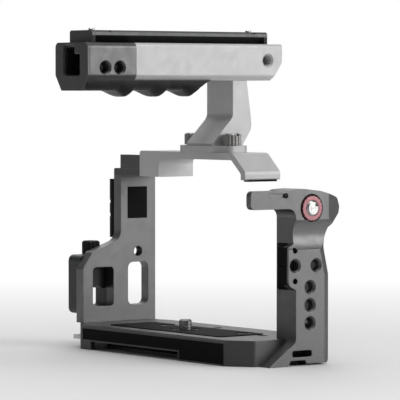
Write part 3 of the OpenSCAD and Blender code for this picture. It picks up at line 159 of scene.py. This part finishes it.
class CageFinishes(bpy.types.PropertyGroup):
    """Colours and grain of the finishes."""

    # The rear sleeve's darker copy of this grey is painted shade, for the dimmer light that falls on it
    grey_anodise: colour_property(
        "Grey anodising", "Colour of the side plates, and darker of the rear sleeve",
        (0.17, 0.172, 0.17))
    slate_anodise: colour_property(
        "Slate anodising", "Colour of the base, the top-left plate, the shoe, the top rail and the rear cap",
        (0.105, 0.106, 0.108))
    black_anodise: colour_property(
        "Black anodising", "Colour of the side rail, the clamp's jaw and the threads in dark pieces",
        (0.02, 0.02, 0.021))
    charcoal_anodise: colour_property(
        "Charcoal anodising", "Colour of the cable clamp's frame", (0.055, 0.056, 0.058))
    pale_anodise: colour_property(
        "Pale anodising", "Colour of the bar, its post, its foot and the bridge",
        (0.52, 0.52, 0.525))
    red_anodise: colour_property(
        "Red anodising", "Colour of the ring round the lock knob", (0.36, 0.165, 0.18))
    bright_steel: colour_property(
        "Bright steel", "Colour of the polished steel, and darker of the foot's thumbscrews",
        (0.62, 0.61, 0.60))
    grey_steel: colour_property(
        "Grey steel", "Colour of the steel screws, the clips and the D-ring", (0.30, 0.30, 0.31))
    black_steel: colour_property(
        "Black steel", "Colour of the blackened screws and the clamp's knob", (0.03, 0.03, 0.031))
    # Partly painted shade: besides the real rubber pads, this near-black dresses the rear strip, a dark
    # piece set where there is shade
    pad_and_shade_rubber: colour_property(
        "Pad rubber", "Colour of the rubber pads and the rear strip", (0.006, 0.006, 0.006))
    grip_rubber: colour_property(
        "Grip rubber", "Colour of the finger grip", (0.012, 0.012, 0.0123))
    edge_radius: length_property(
        "Edge radius", "How far the light wraps round the machined edges", 0.35 * MM)
    blast_height: length_property(
        "Blasted grain", "Height of the bead-blasted grain", 0.012 * MM)


class CageDetails(bpy.types.PropertyGroup):
    """Sizes of the details that are added to the solids."""

    thread_pitch: length_property(
        "Thread pitch", "Pitch of the quarter-inch threads", 1.27 * MM)
    thread_depth: length_property(
        "Thread depth", "Height of a thread's ridge above its bore", 0.34 * MM)
    stud_ridge: length_property(
        "Stud ridge", "Height of the thread's ridge on the camera screw", 0.14 * MM)
    turning_pitch: length_property(
        "Turning marks", "Distance between the lathe rings on the lock knob", 0.3 * MM)
    grip_depth: length_property(
        "Grip depth", "Depth of the finger grip between its bumps", 5.0 * MM)
    bump_rear: length_property(
        "Bump rear slope", "Length of a finger bump's rear slope", 8.0 * MM)
    bump_front: length_property(
        "Bump front slope", "Length of a finger bump's front slope", 3.0 * MM)
    spring_wire: length_property(
        "Spring wire", "Diameter of the stop pins' spring wire", 0.44 * MM)
    spring_turns: bpy.props.IntProperty(
        name="Spring turns", description="Turns of the stop pins' springs", default=3, min=2, max=8)


class CageStage(bpy.types.PropertyGroup):
    """Place and lens of the camera, and the floor's size."""

    eye: bpy.props.FloatVectorProperty(
        name="Eye", description="Place of the camera", default=(1.1590, -0.8929, 0.1315),
        subtype="XYZ", unit="LENGTH", size=3)
    azimuth: bpy.props.FloatProperty(
        name="Azimuth", description="Direction of view, from +Y towards -X",
        default=math.radians(52.73), subtype="ANGLE", unit="ROTATION")
    pitch: bpy.props.FloatProperty(
        name="Pitch", description="Upward tilt of the view",
        default=math.radians(-2.17), subtype="ANGLE", unit="ROTATION")
    lens: bpy.props.FloatProperty(
        name="Lens", description="Focal length in millimetres for a sensor 36 mm wide",
        default=265.0, min=20.0, max=600.0)
    floor_radius: length_property(
        "Floor radius", "Radius of the pale floor", 4.0)


# ---- Node trees ----

MIX_A, MIX_B, MIX_COLOUR = 6, 7, 2  # sockets of a Mix node that mixes colours
WHITE = (1.0, 1.0, 1.0)

# The finishes by name: the frame's own plain materials may have the same names in the file
finishes = {}


def grey(level):
    return (level, level, level)


def tinted(colour, factor):
    return [min(1.0, c * factor) for c in colour]


class Finish:
    """A material under construction: adds nodes to its tree and links them."""

    def __init__(self, name):
        self.material = bpy.data.materials.new(name)
        self.material.use_nodes = True
        finishes[name] = self.material
        self.tree = self.material.node_tree
        self.tree.nodes.clear()
        self.output = self.add("ShaderNodeOutputMaterial")
        self.shader = self.add("ShaderNodeBsdfPrincipled")
        self.send(self.shader.outputs["BSDF"], self.output.inputs["Surface"])
        self.place = self.add("ShaderNodeTexCoord").outputs["Object"]

    def add(self, kind, **settings):
        node = self.tree.nodes.new(kind)
        for key, value in settings.items():
            setattr(node, key, value)
        return node

    def send(self, value, target):
        """Sends a value to an input: a socket is linked, anything else is set."""
        if isinstance(value, bpy.types.NodeSocket):
            self.tree.links.new(value, target)
        else:
            target.default_value = value

    def feed(self, node, **values):
        """Sends values to a node's inputs by name."""
        for key, value in values.items():
            self.send(value, node.inputs[key.replace("_", " ")])

    def fill(self, node, values):
        """Sends values to a node's inputs in their order."""
        for target, value in zip(node.inputs, values):
            self.send(value, target)

    def noise(self, scale, detail=2.0, roughness=0.5, place=None):
        node = self.add("ShaderNodeTexNoise")
        self.feed(node, Vector=place or self.place, Scale=scale, Detail=detail, Roughness=roughness)
        return node.outputs["Fac"]

    def cells(self, scale):
        node = self.add("ShaderNodeTexVoronoi", feature="F1")
        self.feed(node, Vector=self.place, Scale=scale)
        return node.outputs["Distance"]

    def span(self, value, source, result):
        """Maps a value from the source's range to the result's."""
        node = self.add("ShaderNodeMapRange")
        self.feed(node, Value=value, From_Min=source[0], From_Max=source[1],
                  To_Min=result[0], To_Max=result[1])
        return node.outputs["Result"]

    def figure(self, operation, *values):
        """The result of a Math node."""
        node = self.add("ShaderNodeMath", operation=operation)
        self.fill(node, values)
        return node.outputs["Value"]

    def vector(self, operation, *values):
        """The outputs of a Vector Math node."""
        node = self.add("ShaderNodeVectorMath", operation=operation)
        self.fill(node, values)
        return node.outputs

    def split(self, vector):
        """The X, Y and Z of a vector."""
        node = self.add("ShaderNodeSeparateXYZ")
        self.fill(node, [vector])
        return node.outputs

    def ray(self, kind):
        """1 where the surface is met by this kind of ray, and 0 elsewhere."""
        return self.add("ShaderNodeLightPath").outputs[kind]

    def from_axis(self, centre, axis):
        """Distance of the surface from the axis X, Y or Z through the centre."""
        offset = self.vector("SUBTRACT", self.place, centre)["Vector"]
        across = [0.0 if letter == axis else 1.0 for letter in "XYZ"]
        return self.vector("LENGTH", self.vector("MULTIPLY", offset, across)["Vector"])["Value"]

    def painted_shade_below(self, height):
        """Mask of painted shade: 1 on faces that look along X below a height, and 0 elsewhere."""
        facing = self.split(self.add("ShaderNodeNewGeometry").outputs["Normal"])["X"]
        sideways = self.span(self.figure("ABSOLUTE", facing), (0.3, 0.5), (0.0, 1.0))
        low = self.span(self.split(self.place)["Z"], (height - SHADE_FADE_HEIGHT, height), (1.0, 0.0))
        return self.figure("MULTIPLY", sideways, low)

    def mixed(self, factor, first, second):
        node = self.add("ShaderNodeMix", data_type="RGBA")
        self.send(factor, node.inputs["Factor"])
        for index, value in ((MIX_A, first), (MIX_B, second)):
            colour = value if isinstance(value, bpy.types.NodeSocket) else (*value, 1.0)
            self.send(colour, node.inputs[index])
        return node.outputs[MIX_COLOUR]

    def rounded_edges(self, radius):
        """Normal that turns softly round the edges, and how much it turns, from 0 to 1.

        The turn is judged by its cosine."""
        bevel = self.add("ShaderNodeBevel", samples=6)
        self.feed(bevel, Radius=radius)
        rounded = bevel.outputs["Normal"]
        flat = self.add("ShaderNodeNewGeometry").outputs["Normal"]
        likeness = self.vector("DOT_PRODUCT", rounded, flat)["Value"]
        return rounded, self.span(likeness, (0.82, 0.99), (1.0, 0.0))

    def bump(self, height, distance, normal, strength=1.0):
        node = self.add("ShaderNodeBump")
        self.feed(node, Height=height, Distance=distance, Normal=normal, Strength=strength)
        return node.outputs["Normal"]

    def shade(self, **values):
        """Links what varies over the surface, and sets what doesn't on the shader itself."""
        self.feed(self.shader, **values)
        return self.material


def anodised(name, colour, edge, metallic, roughness, undercut=None):
    """Bead-blasted anodising: soft mottling, fine grain and edges worn a little lighter.

    The sides below the height of an undercut get painted shade: a near-black copy of the colour."""
    looks = bpy.context.scene.cage_finishes
    finish = Finish(name)
    normal, worn = finish.rounded_edges(looks.edge_radius)
    dark = tinted(colour, 0.86)
    light = tinted(colour, 1.12)
    sparkling = tinted(colour, 1.5)
    # Painted shade: a near-black copy of the colour for the sides in an undercut
    shadowed = tinted(colour, 0.16)
    mottling = finish.noise(scale=70.0, detail=4.0, roughness=0.55)
    grain = finish.noise(scale=3800.0, detail=2.0, roughness=0.6)
    sparkle = finish.span(grain, (0.35, 0.75), (0.0, 0.35))
    surface = finish.mixed(sparkle, finish.mixed(mottling, dark, light), sparkling)
    if undercut is not None:
        surface = finish.mixed(finish.painted_shade_below(undercut), surface, shadowed)
    patches = finish.span(finish.noise(scale=260.0, detail=3.0), (0.35, 0.7), (0.15, 0.75))
    wear = finish.figure("MULTIPLY", worn, patches)
    smudges = finish.noise(scale=240.0, detail=3.0)
    return finish.shade(
        Base_Color=finish.mixed(wear, surface, edge),
        Roughness=finish.span(smudges, (0.3, 0.7), (roughness - 0.05, roughness + 0.06)),
        Normal=finish.bump(grain, looks.blast_height, normal),
        Metallic=metallic, Specular_IOR_Level=0.5)


def rubber(name, colour, dusty, gloss, roughness):
    """Moulded rubber: a fine pebbled skin with faint dusty patches."""
    looks = bpy.context.scene.cage_finishes
    finish = Finish(name)
    normal, worn = finish.rounded_edges(looks.edge_radius)
    dust = tinted(colour, 2.2)
    rubbed = tinted(colour, 3.0)
    pebbles = finish.cells(scale=1700.0)
    patches = finish.noise(scale=120.0, detail=4.0, roughness=0.6)
    skin = finish.mixed(finish.span(patches, (0.45, 0.8), (0.0, dusty)), colour, dust)
    wear = finish.figure("MULTIPLY", worn, 0.35)
    return finish.shade(
        Base_Color=finish.mixed(wear, skin, rubbed),
        Roughness=finish.span(pebbles, (0.0, 0.8), (roughness - 0.1, roughness + 0.1)),
        Normal=finish.bump(pebbles, PEBBLE_HEIGHT, normal, strength=0.8), Specular_IOR_Level=gloss)


def turned_steel(name, colour, roughness, rings=None):
    """Steel with fine brushing, or with lathe rings.

    The rings go round an axis along X: they are given by a point on it and their pitch."""
    looks = bpy.context.scene.cage_finishes
    finish = Finish(name)
    # Turned edges are crisper than machined ones
    normal, worn = finish.rounded_edges(0.5 * looks.edge_radius)
    dark = tinted(colour, 0.85)
    light = tinted(colour, 1.12)
    rubbed = tinted(colour, 1.5)
    if rings is None:
        brushed = finish.vector("MULTIPLY", finish.place, BRUSHING)["Vector"]
        marks = finish.noise(scale=1.0, place=brushed)
    else:
        centre, pitch = rings
        turns = finish.figure("MULTIPLY", finish.from_axis(centre, "X"), FULL_TURN / pitch)
        marks = finish.figure("SINE", turns)
    stains = finish.noise(scale=420.0, detail=3.0, roughness=0.6)
    body = finish.mixed(stains, dark, light)
    wear = finish.figure("MULTIPLY", worn, 0.4)
    return finish.shade(
        Base_Color=finish.mixed(wear, body, rubbed),
        Roughness=finish.span(stains, (0.3, 0.7), (roughness - 0.06, roughness + 0.08)),
        Normal=finish.bump(marks, MARK_HEIGHT, normal), Metallic=1.0)


# ---- Shapes, as the points and faces of closed forms ----

def round_step(step, steps):
    """Cosine and sine of one of the equal steps round a circle."""
    angle = FULL_TURN * step / steps
    return math.cos(angle), math.sin(angle)


def axis_and_sides(axis):
    """The unit vector along an axis, and two unit vectors square to it."""
    axis = Vector(axis).normalized()
    side = axis.orthogonal().normalized()
    return axis, side, axis.cross(side)


def tube_faces(rings, sides):
    """Quads between rings of points, and a face on each end."""
    faces = [tuple(reversed(range(sides)))]
    for i in range(rings - 1):
        for j in range(sides):
            k = (j + 1) % sides
            faces.append((i * sides + j, i * sides + k, (i + 1) * sides + k, (i + 1) * sides + j))
    faces.append(tuple((rings - 1) * sides + j for j in range(sides)))
    return faces


def thread_ridge(origin, axis, radius, start, end, pitch, depth):
    """A helical ridge between two places along its axis. A negative depth points to the axis."""
    axis, side, other = axis_and_sides(axis)
    half_width = THREAD_HALF_WIDTH * pitch
    root = math.copysign(THREAD_ROOT, -depth)
    turns = (end - start - 2 * half_width) / pitch
    count = int(turns * THREAD_STEPS) + 1
    run_out = THREAD_RUN_OUT * THREAD_STEPS
    points = []
    for i in range(count):
        across, up = round_step(i, THREAD_STEPS)
        out = side * across + other * up
        along = start + half_width + pitch * i / THREAD_STEPS
        crest = depth * min(1.0, i / run_out, (count - 1 - i) / run_out)
        for shift, reach in ((-half_width, root), (0.0, crest), (half_width, root)):
            points.append(origin + axis * (along + shift) + out * (radius + reach))
    return points, tube_faces(count, 3)


def lathe(origin, axis, profile, sides=48):
    """A turned shape. The profile lists (along the axis, radius)."""
    axis, side, other = axis_and_sides(axis)
    points = []
    for along, reach in profile:
        for i in range(sides):
            across, up = round_step(i, sides)
            points.append(origin + axis * along + (side * across + other * up) * reach)
    return points, tube_faces(len(profile), sides)


def drilled_end(origin, axis, radius, start):
    """A plug that closes a hole at its inner end, with the cone that a drill leaves."""
    rim = start + DRILL_CONE * radius
    point = start + DRILL_WALL
    return lathe(origin, axis, ((start, radius), (rim, radius), (point, DRILL_POINT * radius)),
                 sides=32)


def coil(origin, radius, wire, height, turns):
    """A wire wound round Z. The height goes from the wire's lowest edge to its highest."""
    steps = 32
    sides = 10
    rise = (height - wire) / (turns * steps)
    points = []
    for i in range(turns * steps + 1):
        across, up = round_step(i, steps)
        for j in range(sides):
            outward, upward = round_step(j, sides)
            reach = radius + 0.5 * wire * outward
            level = 0.5 * wire + rise * i + 0.5 * wire * upward
            points.append(origin + Vector((reach * across, reach * up, level)))
    return points, tube_faces(turns * steps + 1, sides)


def eased(keys, at):
    """Smooth curve through (place, value) pairs, level at each of them."""
    for (a, first), (b, second) in zip(keys, keys[1:]):
        if at <= b:
            t = max(0.0, (at - a) / (b - a))
            return first + (second - first) * t * t * (3 - 2 * t)
    return keys[-1][1]


def grip_section(half_width, depth, shallow):
    """Half of the grip's section as (sideways, down), from its upper edge round to its flat belly.

    It is a cubic curve that starts almost upright. Where it is deeper than the shallow depth, its
    belly is rounder and narrower."""
    deeper = max(0.0, depth - shallow)
    corners = (
        (half_width, 0.0),
        (half_width - SIDE_LEAN, SIDE_HEIGHT * depth),
        (SHOULDER * half_width - BUMP_ROUNDING * deeper, depth),
        (BELLY - deeper, depth),
    )
    half = []
    for i in range(GRIP_STEPS + 1):
        t = i / GRIP_STEPS
        weights = ((1 - t) ** 3, 3 * t * (1 - t) ** 2, 3 * t * t * (1 - t), t ** 3)
        half.append(tuple(sum(w * c[k] for w, c in zip(weights, corners)) for k in (0, 1)))
    return half


# ---- Placing pieces ----

def dress(node, material):
    """Gives a solid of the frame its finish."""
    solid = frame["nodes"][node]
    if not solid.material_slots:
        solid.data.materials.append(None)
    for slot in solid.material_slots:
        slot.link = "OBJECT"
        slot.material = material


def closed_mesh(name, points, faces):
    """A mesh of a closed form, with all its faces turned outward."""
    mesh = bpy.data.meshes.new(name)
    mesh.from_pydata([tuple(p) for p in points], [], faces)
    mesh.validate()
    shape = bmesh.new()
    shape.from_mesh(mesh)
    bmesh.ops.recalc_face_normals(shape, faces=shape.faces)
    shape.to_mesh(mesh)
    shape.free()
    return mesh


def soften(mesh):
    """Shades a mesh smoothly between its sharp edges."""
    mesh.shade_smooth()
    mesh.set_sharp_from_angle(angle=SMOOTH_ANGLE)


def add_piece(name, points, faces, material, body):
    """A new piece in the frame's metres, riding on a body."""
    mesh = closed_mesh(name, points, faces)
    mesh.materials.append(material)
    soften(mesh)
    piece = bpy.data.objects.new(name, mesh)
    bpy.context.scene.collection.objects.link(piece)
    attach(piece, body)
    return piece


def cut_out(piece, points, faces):
    """Takes a closed form out of a piece, for good."""
    cutter = bpy.data.objects.new("cutter", closed_mesh("cutter", points, faces))
    bpy.context.scene.collection.objects.link(cutter)
    step = piece.modifiers.new("hole", "BOOLEAN")
    step.operation = "DIFFERENCE"
    step.solver = "EXACT"
    step.object = cutter
    bpy.context.view_layer.update()
    whole = piece.evaluated_get(bpy.context.evaluated_depsgraph_get())
    result = bpy.data.meshes.new_from_object(whole)
    if len(result.polygons) == len(piece.data.polygons):
        raise RuntimeError(f"{piece.name} kept its shape where a hole was due")
    spare = (piece.data, cutter.data)
    piece.modifiers.clear()
    piece.data = result
    bpy.data.objects.remove(cutter)
    for mesh in spare:
        bpy.data.meshes.remove(mesh)


# ---- Operators ----

class CAGE_OT_finishes(bpy.types.Operator):
    """Give every solid of the cage and the handle its finish"""

    bl_idname = "cage.finishes"
    bl_label = "Finish the solids"

    def execute(self, context):
        looks = context.scene.cage_finishes
        anodised("grey_anodised", looks.grey_anodise, edge=grey(0.34), metallic=0.92, roughness=0.43)
        anodised("slate_anodised", looks.slate_anodise, edge=grey(0.24), metallic=0.7, roughness=0.42)
        anodised("black_anodised", looks.black_anodise, edge=grey(0.11), metallic=0.55, roughness=0.42)
        anodised("dark_anodised", looks.charcoal_anodise, edge=grey(0.20), metallic=0.6, roughness=0.44)
        anodised("pale_anodised", looks.pale_anodise, edge=grey(0.72), metallic=0.35, roughness=0.5)
        anodised("red_anodised", looks.red_anodise, edge=(0.50, 0.36, 0.37), metallic=0.6, roughness=0.36)
        turned_steel("bright_steel", looks.bright_steel, roughness=0.26)
        turned_steel("screw_steel", looks.grey_steel, roughness=0.36)
        turned_steel("pale_steel", tinted(looks.bright_steel, 0.6), roughness=0.36)
        turned_steel("black_steel", looks.black_steel, roughness=0.42)
        # black_rubber also dresses the rear strip, a dark piece that stands for shade
        rubber("black_rubber", looks.pad_and_shade_rubber, dusty=0.3, gloss=0.12, roughness=0.7)
        rubber("grip_rubber", looks.grip_rubber, dusty=0.4, gloss=0.4, roughness=0.42)
        for part in frame["record"]["subparts"]:
            dress(part["node"], finishes[part["material_slot"]])
        self.finish_apart(looks, context.scene.cage_details)
        return {"FINISHED"}

    def finish_apart(self, looks, details):
        """The rear sleeve, the top rail and the lock knob have finishes of their own: the sleeve's is the
        plates' grey darkened as painted shade, the rail's has painted shade in its undercut, and the knob's
        has lathe rings.
        """
        # Painted shade: the sleeve is the plates' grey anodising darkened, for the dimmer light that falls
        # on it
        dress("rear_sleeve", anodised(
            "sleeve_anodised_painted_shade", tinted(looks.grey_anodise, 0.72),
            edge=grey(0.30), metallic=0.92, roughness=0.38))
        # The top rail's undercut gets painted shade on its sides
        dress("top_rail", anodised(
            "rail_anodised_painted_shade", looks.slate_anodise, edge=grey(0.24), metallic=0.7, roughness=0.42,
            undercut=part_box("top_rail")[1][2] - RAIL_FLANGE))
        low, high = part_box("lock_knob")
        dress("lock_knob", turned_steel(
            "turned_cap", looks.bright_steel, roughness=0.3,
            rings=((low + high) / 2, details.turning_pitch)))


class CAGE_OT_threads(bpy.types.Operator):
    """Add a thread's ridge to every threaded hole and to the camera screw"""

    bl_idname = "cage.threads"
    bl_label = "Add the threads"

    def execute(self, context):
        details = context.scene.cage_details
        cage_nodes = frame["record"]["behaviour"]["bodies"]["cage"]
        points = np.concatenate([
            np.array([v.co for v in frame["nodes"][n].data.vertices]) for n in cage_nodes])
        for mount in frame["record"]["mounts"]:
            if mount["kind"] == "threaded_hole":
                self.thread_hole(mount, points, details)
            elif mount["kind"] == "pin":
                self.thread_stud(mount, details)
        return {"FINISHED"}

    def thread_stud(self, mount, details):
        """The thread from the base's upper face to the stud's tip."""
        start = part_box("bottom_plate")[1][2] + STUD_START
        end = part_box("camera_screw")[1][2] - STUD_TIP
        origin = Vector((mount["pos_m"][0], mount["pos_m"][1], 0.0))
        ridge, faces = thread_ridge(
            origin, mount["axis"], mount["dims"]["r_mm"] * MM, start, end,
            details.thread_pitch, details.stud_ridge)
        add_piece("thread." + mount["name"], ridge, faces,
                  finishes["screw_steel"], "camera_screw")

    def thread_hole(self, mount, points, details):
        """The thread along a bore's wall, which is found among the points of the cage's solids."""
        origin = Vector(mount["pos_m"])
        axis = Vector(mount["axis"])
        radius = mount["dims"]["r_mm"] * MM
        reach = mount["dims"]["length_mm"] * MM + WALL_MARGIN
        from_origin = points - np.array(origin)
        along = from_origin @ np.array(axis)
        away = np.linalg.norm(from_origin - np.outer(along, np.array(axis)), axis=1)
        on_wall = along[(abs(away - radius) < WALL_TOLERANCE) & (abs(along) < reach)]
        if not len(on_wall):
            raise RuntimeError(f"{mount['name']} has no wall in the solids")
        ridge, faces = thread_ridge(
            origin, axis, radius, on_wall.min(), on_wall.max(),
            details.thread_pitch, -details.thread_depth)
        slot = "pale_anodised" if mount["name"].startswith(PALE_THREADS) else "black_anodised"
        add_piece("thread." + mount["name"], ridge, faces, finishes[slot], "cage")
        if mount["name"].startswith(BLIND_THREADS):
            # The hole's end takes the sleeve's darkened grey, which includes painted shade
            plug, faces = drilled_end(origin, axis, radius - FLUSH, on_wall.min() + FLUSH)
            add_piece("hole_end." + mount["name"], plug, faces,
                      finishes["sleeve_anodised_painted_shade"], "cage")


class CAGE_OT_grip(bpy.types.Operator):
    """Mould the rubber finger grip under the handle"""

    bl_idname = "cage.grip"
    bl_label = "Mould the finger grip"

    def execute(self, context):
        details = context.scene.cage_details
        low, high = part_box("rubber_grip")
        rear = low[1] + FLUSH
        front = high[1]
        upper = high[2] - FLUSH
        keys = self.depth_keys(rear, front, high[2] - low[2], details)
        points = []
        for i in range(GRIP_STATIONS):
            along = rear + (front - rear) * i / (GRIP_STATIONS - 1)
            slant = TIP_DEPTH + (front - along) * details.grip_depth / NOSE
            half = grip_section(high[0], min(eased(keys, along), slant), details.grip_depth)
            points += [Vector((-x, along, upper - z)) for x, z in half]
            points += [Vector((x, along, upper - z)) for x, z in reversed(half)]
        grip = add_piece(
            "finger_grip", points, tube_faces(GRIP_STATIONS, 2 * len(half)),
            finishes["grip_rubber"], "cage")
        self.make_holes(grip)
        soften(grip.data)
        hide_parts("rubber_grip")
        return {"FINISHED"}

    def depth_keys(self, rear, front, deepest, details):
        """The grip's depth along its length: three bumps, each with a slow rear slope."""
        first = rear + FIRST_BUMP
        last = front - LAST_BUMP
        keys = [(rear, details.grip_depth)]
        for place in (first, (first + last) / 2, last):
            keys += [
                (place - details.bump_rear, details.grip_depth),
                (place, deepest),
                (place + details.bump_front, details.grip_depth),
            ]
        # The last bump runs out into the slanted front end
        keys[-1] = (front - NOSE + NOSE_EASE, NOSE_DEPTH * details.grip_depth)
        return keys

    def make_holes(self, grip):
        """Counterbored, countersunk holes for the two screws between the bumps."""
        low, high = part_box("grip_screws")
        head = (high[0] - low[0]) / 2
        shaft = head - HEAD_OVERHANG
        profile = (
            (-BORE_BELOW, head + BORE_GAP), (0.0, head + BORE_GAP),
            (0.0, head + CONE_GAP), (CONE_HEIGHT, shaft),
            (SHAFT_ABOVE, shaft),
        )
        for place in (low[1] + head, high[1] - head):
            origin = Vector((0.0, place, low[2]))
            cut_out(grip, *lathe(origin, (0.0, 0.0, 1.0), profile))


class CAGE_OT_springs(bpy.types.Operator):
    """Wind the springs under the rail's stop pins"""

    bl_idname = "cage.springs"
    bl_label = "Wind the springs"

    def execute(self, context):
        details = context.scene.cage_details
        record = frame["record"]
        slots = {part["node"]: part["material_slot"] for part in record["subparts"]}
        for end in ("rear", "front"):
            node = "stop_spring_" + end
            low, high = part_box(node)
            foot = Vector(((low[0] + high[0]) / 2, (low[1] + high[1]) / 2, low[2]))
            height = high[2] - low[2]
            radius = (high[0] - low[0] - details.spring_wire) / 2
            points, faces = coil(foot, radius, details.spring_wire, height, details.spring_turns)
            spring = add_piece("coil_" + end, points, faces, finishes[slots[node]], "cage")
            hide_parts(node)
            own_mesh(spring)
        return {"FINISHED"}


class CAGE_OT_stage(bpy.types.Operator):
    """Add the camera, the pale floor and the studio light"""

    bl_idname = "cage.stage"
    bl_label = "Set the stage"

    def execute(self, context):
        settings = context.scene.cage_stage
        self.add_camera(context.scene, settings)
        self.add_floor(context.scene, settings.floor_radius)
        self.add_world(context.scene)
        for name, place, size, power in LAMPS:
            self.add_lamp(context.scene, name, place, size, power)
        return {"FINISHED"}

    def add_camera(self, scene, settings):
        camera = bpy.data.objects.new("camera", bpy.data.cameras.new("camera"))
        camera.data.lens = settings.lens
        camera.data.sensor_width = SENSOR
        camera.data.clip_end = FAR_CLIP
        camera.location = settings.eye
        camera.rotation_euler = (math.pi / 2 + settings.pitch, 0.0, settings.azimuth)
        scene.collection.objects.link(camera)
        scene.camera = camera

    def add_floor(self, scene, radius):
        """A disc that fades into the pale background towards its rim.

        The metal mirrors it darker than it is seen, so that its low sides keep their contrast.
        Two bright zones lighten those reflections on the left and on the right."""
        sides = 96
        rim = [round_step(i, sides) for i in range(sides)]
        mesh = bpy.data.meshes.new("floor")
        mesh.from_pydata([(radius * x, radius * y, 0.0) for x, y in rim], [], [tuple(range(sides))])
        floor = bpy.data.objects.new("floor", mesh)
        finish = Finish("pale_floor")
        pale = finish.mixed(finish.noise(scale=3.0, detail=3.0), *FLOOR_SHADES)
        left = finish.span(finish.split(finish.place)["X"], LEFT_ZONE, (1.0, 0.0))
        right = finish.span(finish.from_axis(RIGHT_CENTRE, "Z"), RIGHT_ZONE, (1.0, 0.0))
        mirrored = finish.mixed(finish.figure("MAXIMUM", left, right), FLOOR_MIRRORED, WHITE)
        finish.shade(
            Base_Color=finish.mixed(finish.ray("Is Glossy Ray"), pale, mirrored),
            Roughness=FLOOR_ROUGHNESS)
        self.fade(finish, radius)
        mesh.materials.append(finish.material)
        scene.collection.objects.link(floor)

    def fade(self, finish, radius):
        """Blends the floor into the background where the camera sees it."""
        glow = finish.add("ShaderNodeEmission")
        finish.feed(glow, Color=(*WHITE, 1.0), Strength=BACKGROUND)
        reach = [share * radius for share in FLOOR_FADE]
        away = finish.span(finish.from_axis((0.0, 0.0, 0.0), "Z"), reach, (0.0, 1.0))
        faded = finish.figure("MULTIPLY", away, finish.ray("Is Camera Ray"))
        blend = finish.add("ShaderNodeMixShader")
        finish.fill(blend, (faded, finish.shader.outputs["BSDF"], glow.outputs["Emission"]))
        finish.send(blend.outputs["Shader"], finish.output.inputs["Surface"])

    def add_world(self, scene):
        """White where it is seen, and dimmer as a light."""
        world = bpy.data.worlds.new("studio")
        world.use_nodes = True
        tree = world.node_tree
        tree.nodes.clear()
        output = tree.nodes.new("ShaderNodeOutputWorld")
        blend = tree.nodes.new("ShaderNodeMixShader")
        rays = tree.nodes.new("ShaderNodeLightPath")
        tree.links.new(rays.outputs["Is Camera Ray"], blend.inputs[0])
        for target, strength in zip(blend.inputs[1:], (WORLD_LIGHT, BACKGROUND)):
            glow = tree.nodes.new("ShaderNodeBackground")
            glow.inputs["Color"].default_value = (*WHITE, 1.0)
            glow.inputs["Strength"].default_value = strength
            tree.links.new(glow.outputs["Background"], target)
        tree.links.new(blend.outputs["Shader"], output.inputs["Surface"])
        scene.world = world
        scene.view_settings.view_transform = "Standard"

    def add_lamp(self, scene, name, place, size, power):
        """A rectangular soft light that the camera doesn't see."""
        light = bpy.data.lights.new(name, "AREA")
        light.shape = "RECTANGLE"
        light.size, light.size_y = size
        light.energy = power
        lamp = bpy.data.objects.new(name, light)
        lamp.location = place
        lamp.rotation_euler = (AIM - Vector(place)).to_track_quat("-Z", "Y").to_euler()
        lamp.visible_camera = False
        scene.collection.objects.link(lamp)


# ---- Panel and registration ----

class CAGE_PT_looks(bpy.types.Panel):
    """Lists the steps that dress the cage and their settings"""

    bl_idname = "CAGE_PT_looks"
    bl_label = "Cage"
    bl_space_type = "VIEW_3D"
    bl_region_type = "UI"
    bl_category = "Cage"

    def draw(self, context):
        for step in STEPS:
            self.layout.operator(step.bl_idname)
        for group in (context.scene.cage_finishes, context.scene.cage_details, context.scene.cage_stage):
            column = self.layout.column()
            for key in group.__annotations__:
                column.prop(group, key)


STEPS = (CAGE_OT_stage, CAGE_OT_finishes, CAGE_OT_threads, CAGE_OT_grip, CAGE_OT_springs)
GROUPS = (CageFinishes, CageDetails, CageStage)


def register():
    for item in (*GROUPS, *STEPS, CAGE_PT_looks):
        bpy.utils.register_class(item)
    bpy.types.Scene.cage_finishes = bpy.props.PointerProperty(type=CageFinishes)
    bpy.types.Scene.cage_details = bpy.props.PointerProperty(type=CageDetails)
    bpy.types.Scene.cage_stage = bpy.props.PointerProperty(type=CageStage)


def unregister():
    del bpy.types.Scene.cage_finishes
    del bpy.types.Scene.cage_details
    del bpy.types.Scene.cage_stage
    for item in reversed((*GROUPS, *STEPS, CAGE_PT_looks)):
        bpy.utils.unregister_class(item)


def main():
    register()
    bpy.ops.cage.stage()
    bpy.ops.cage.finishes()
    bpy.ops.cage.threads()
    bpy.ops.cage.grip()
    bpy.ops.cage.springs()


if __name__ == "__main__":
    main()
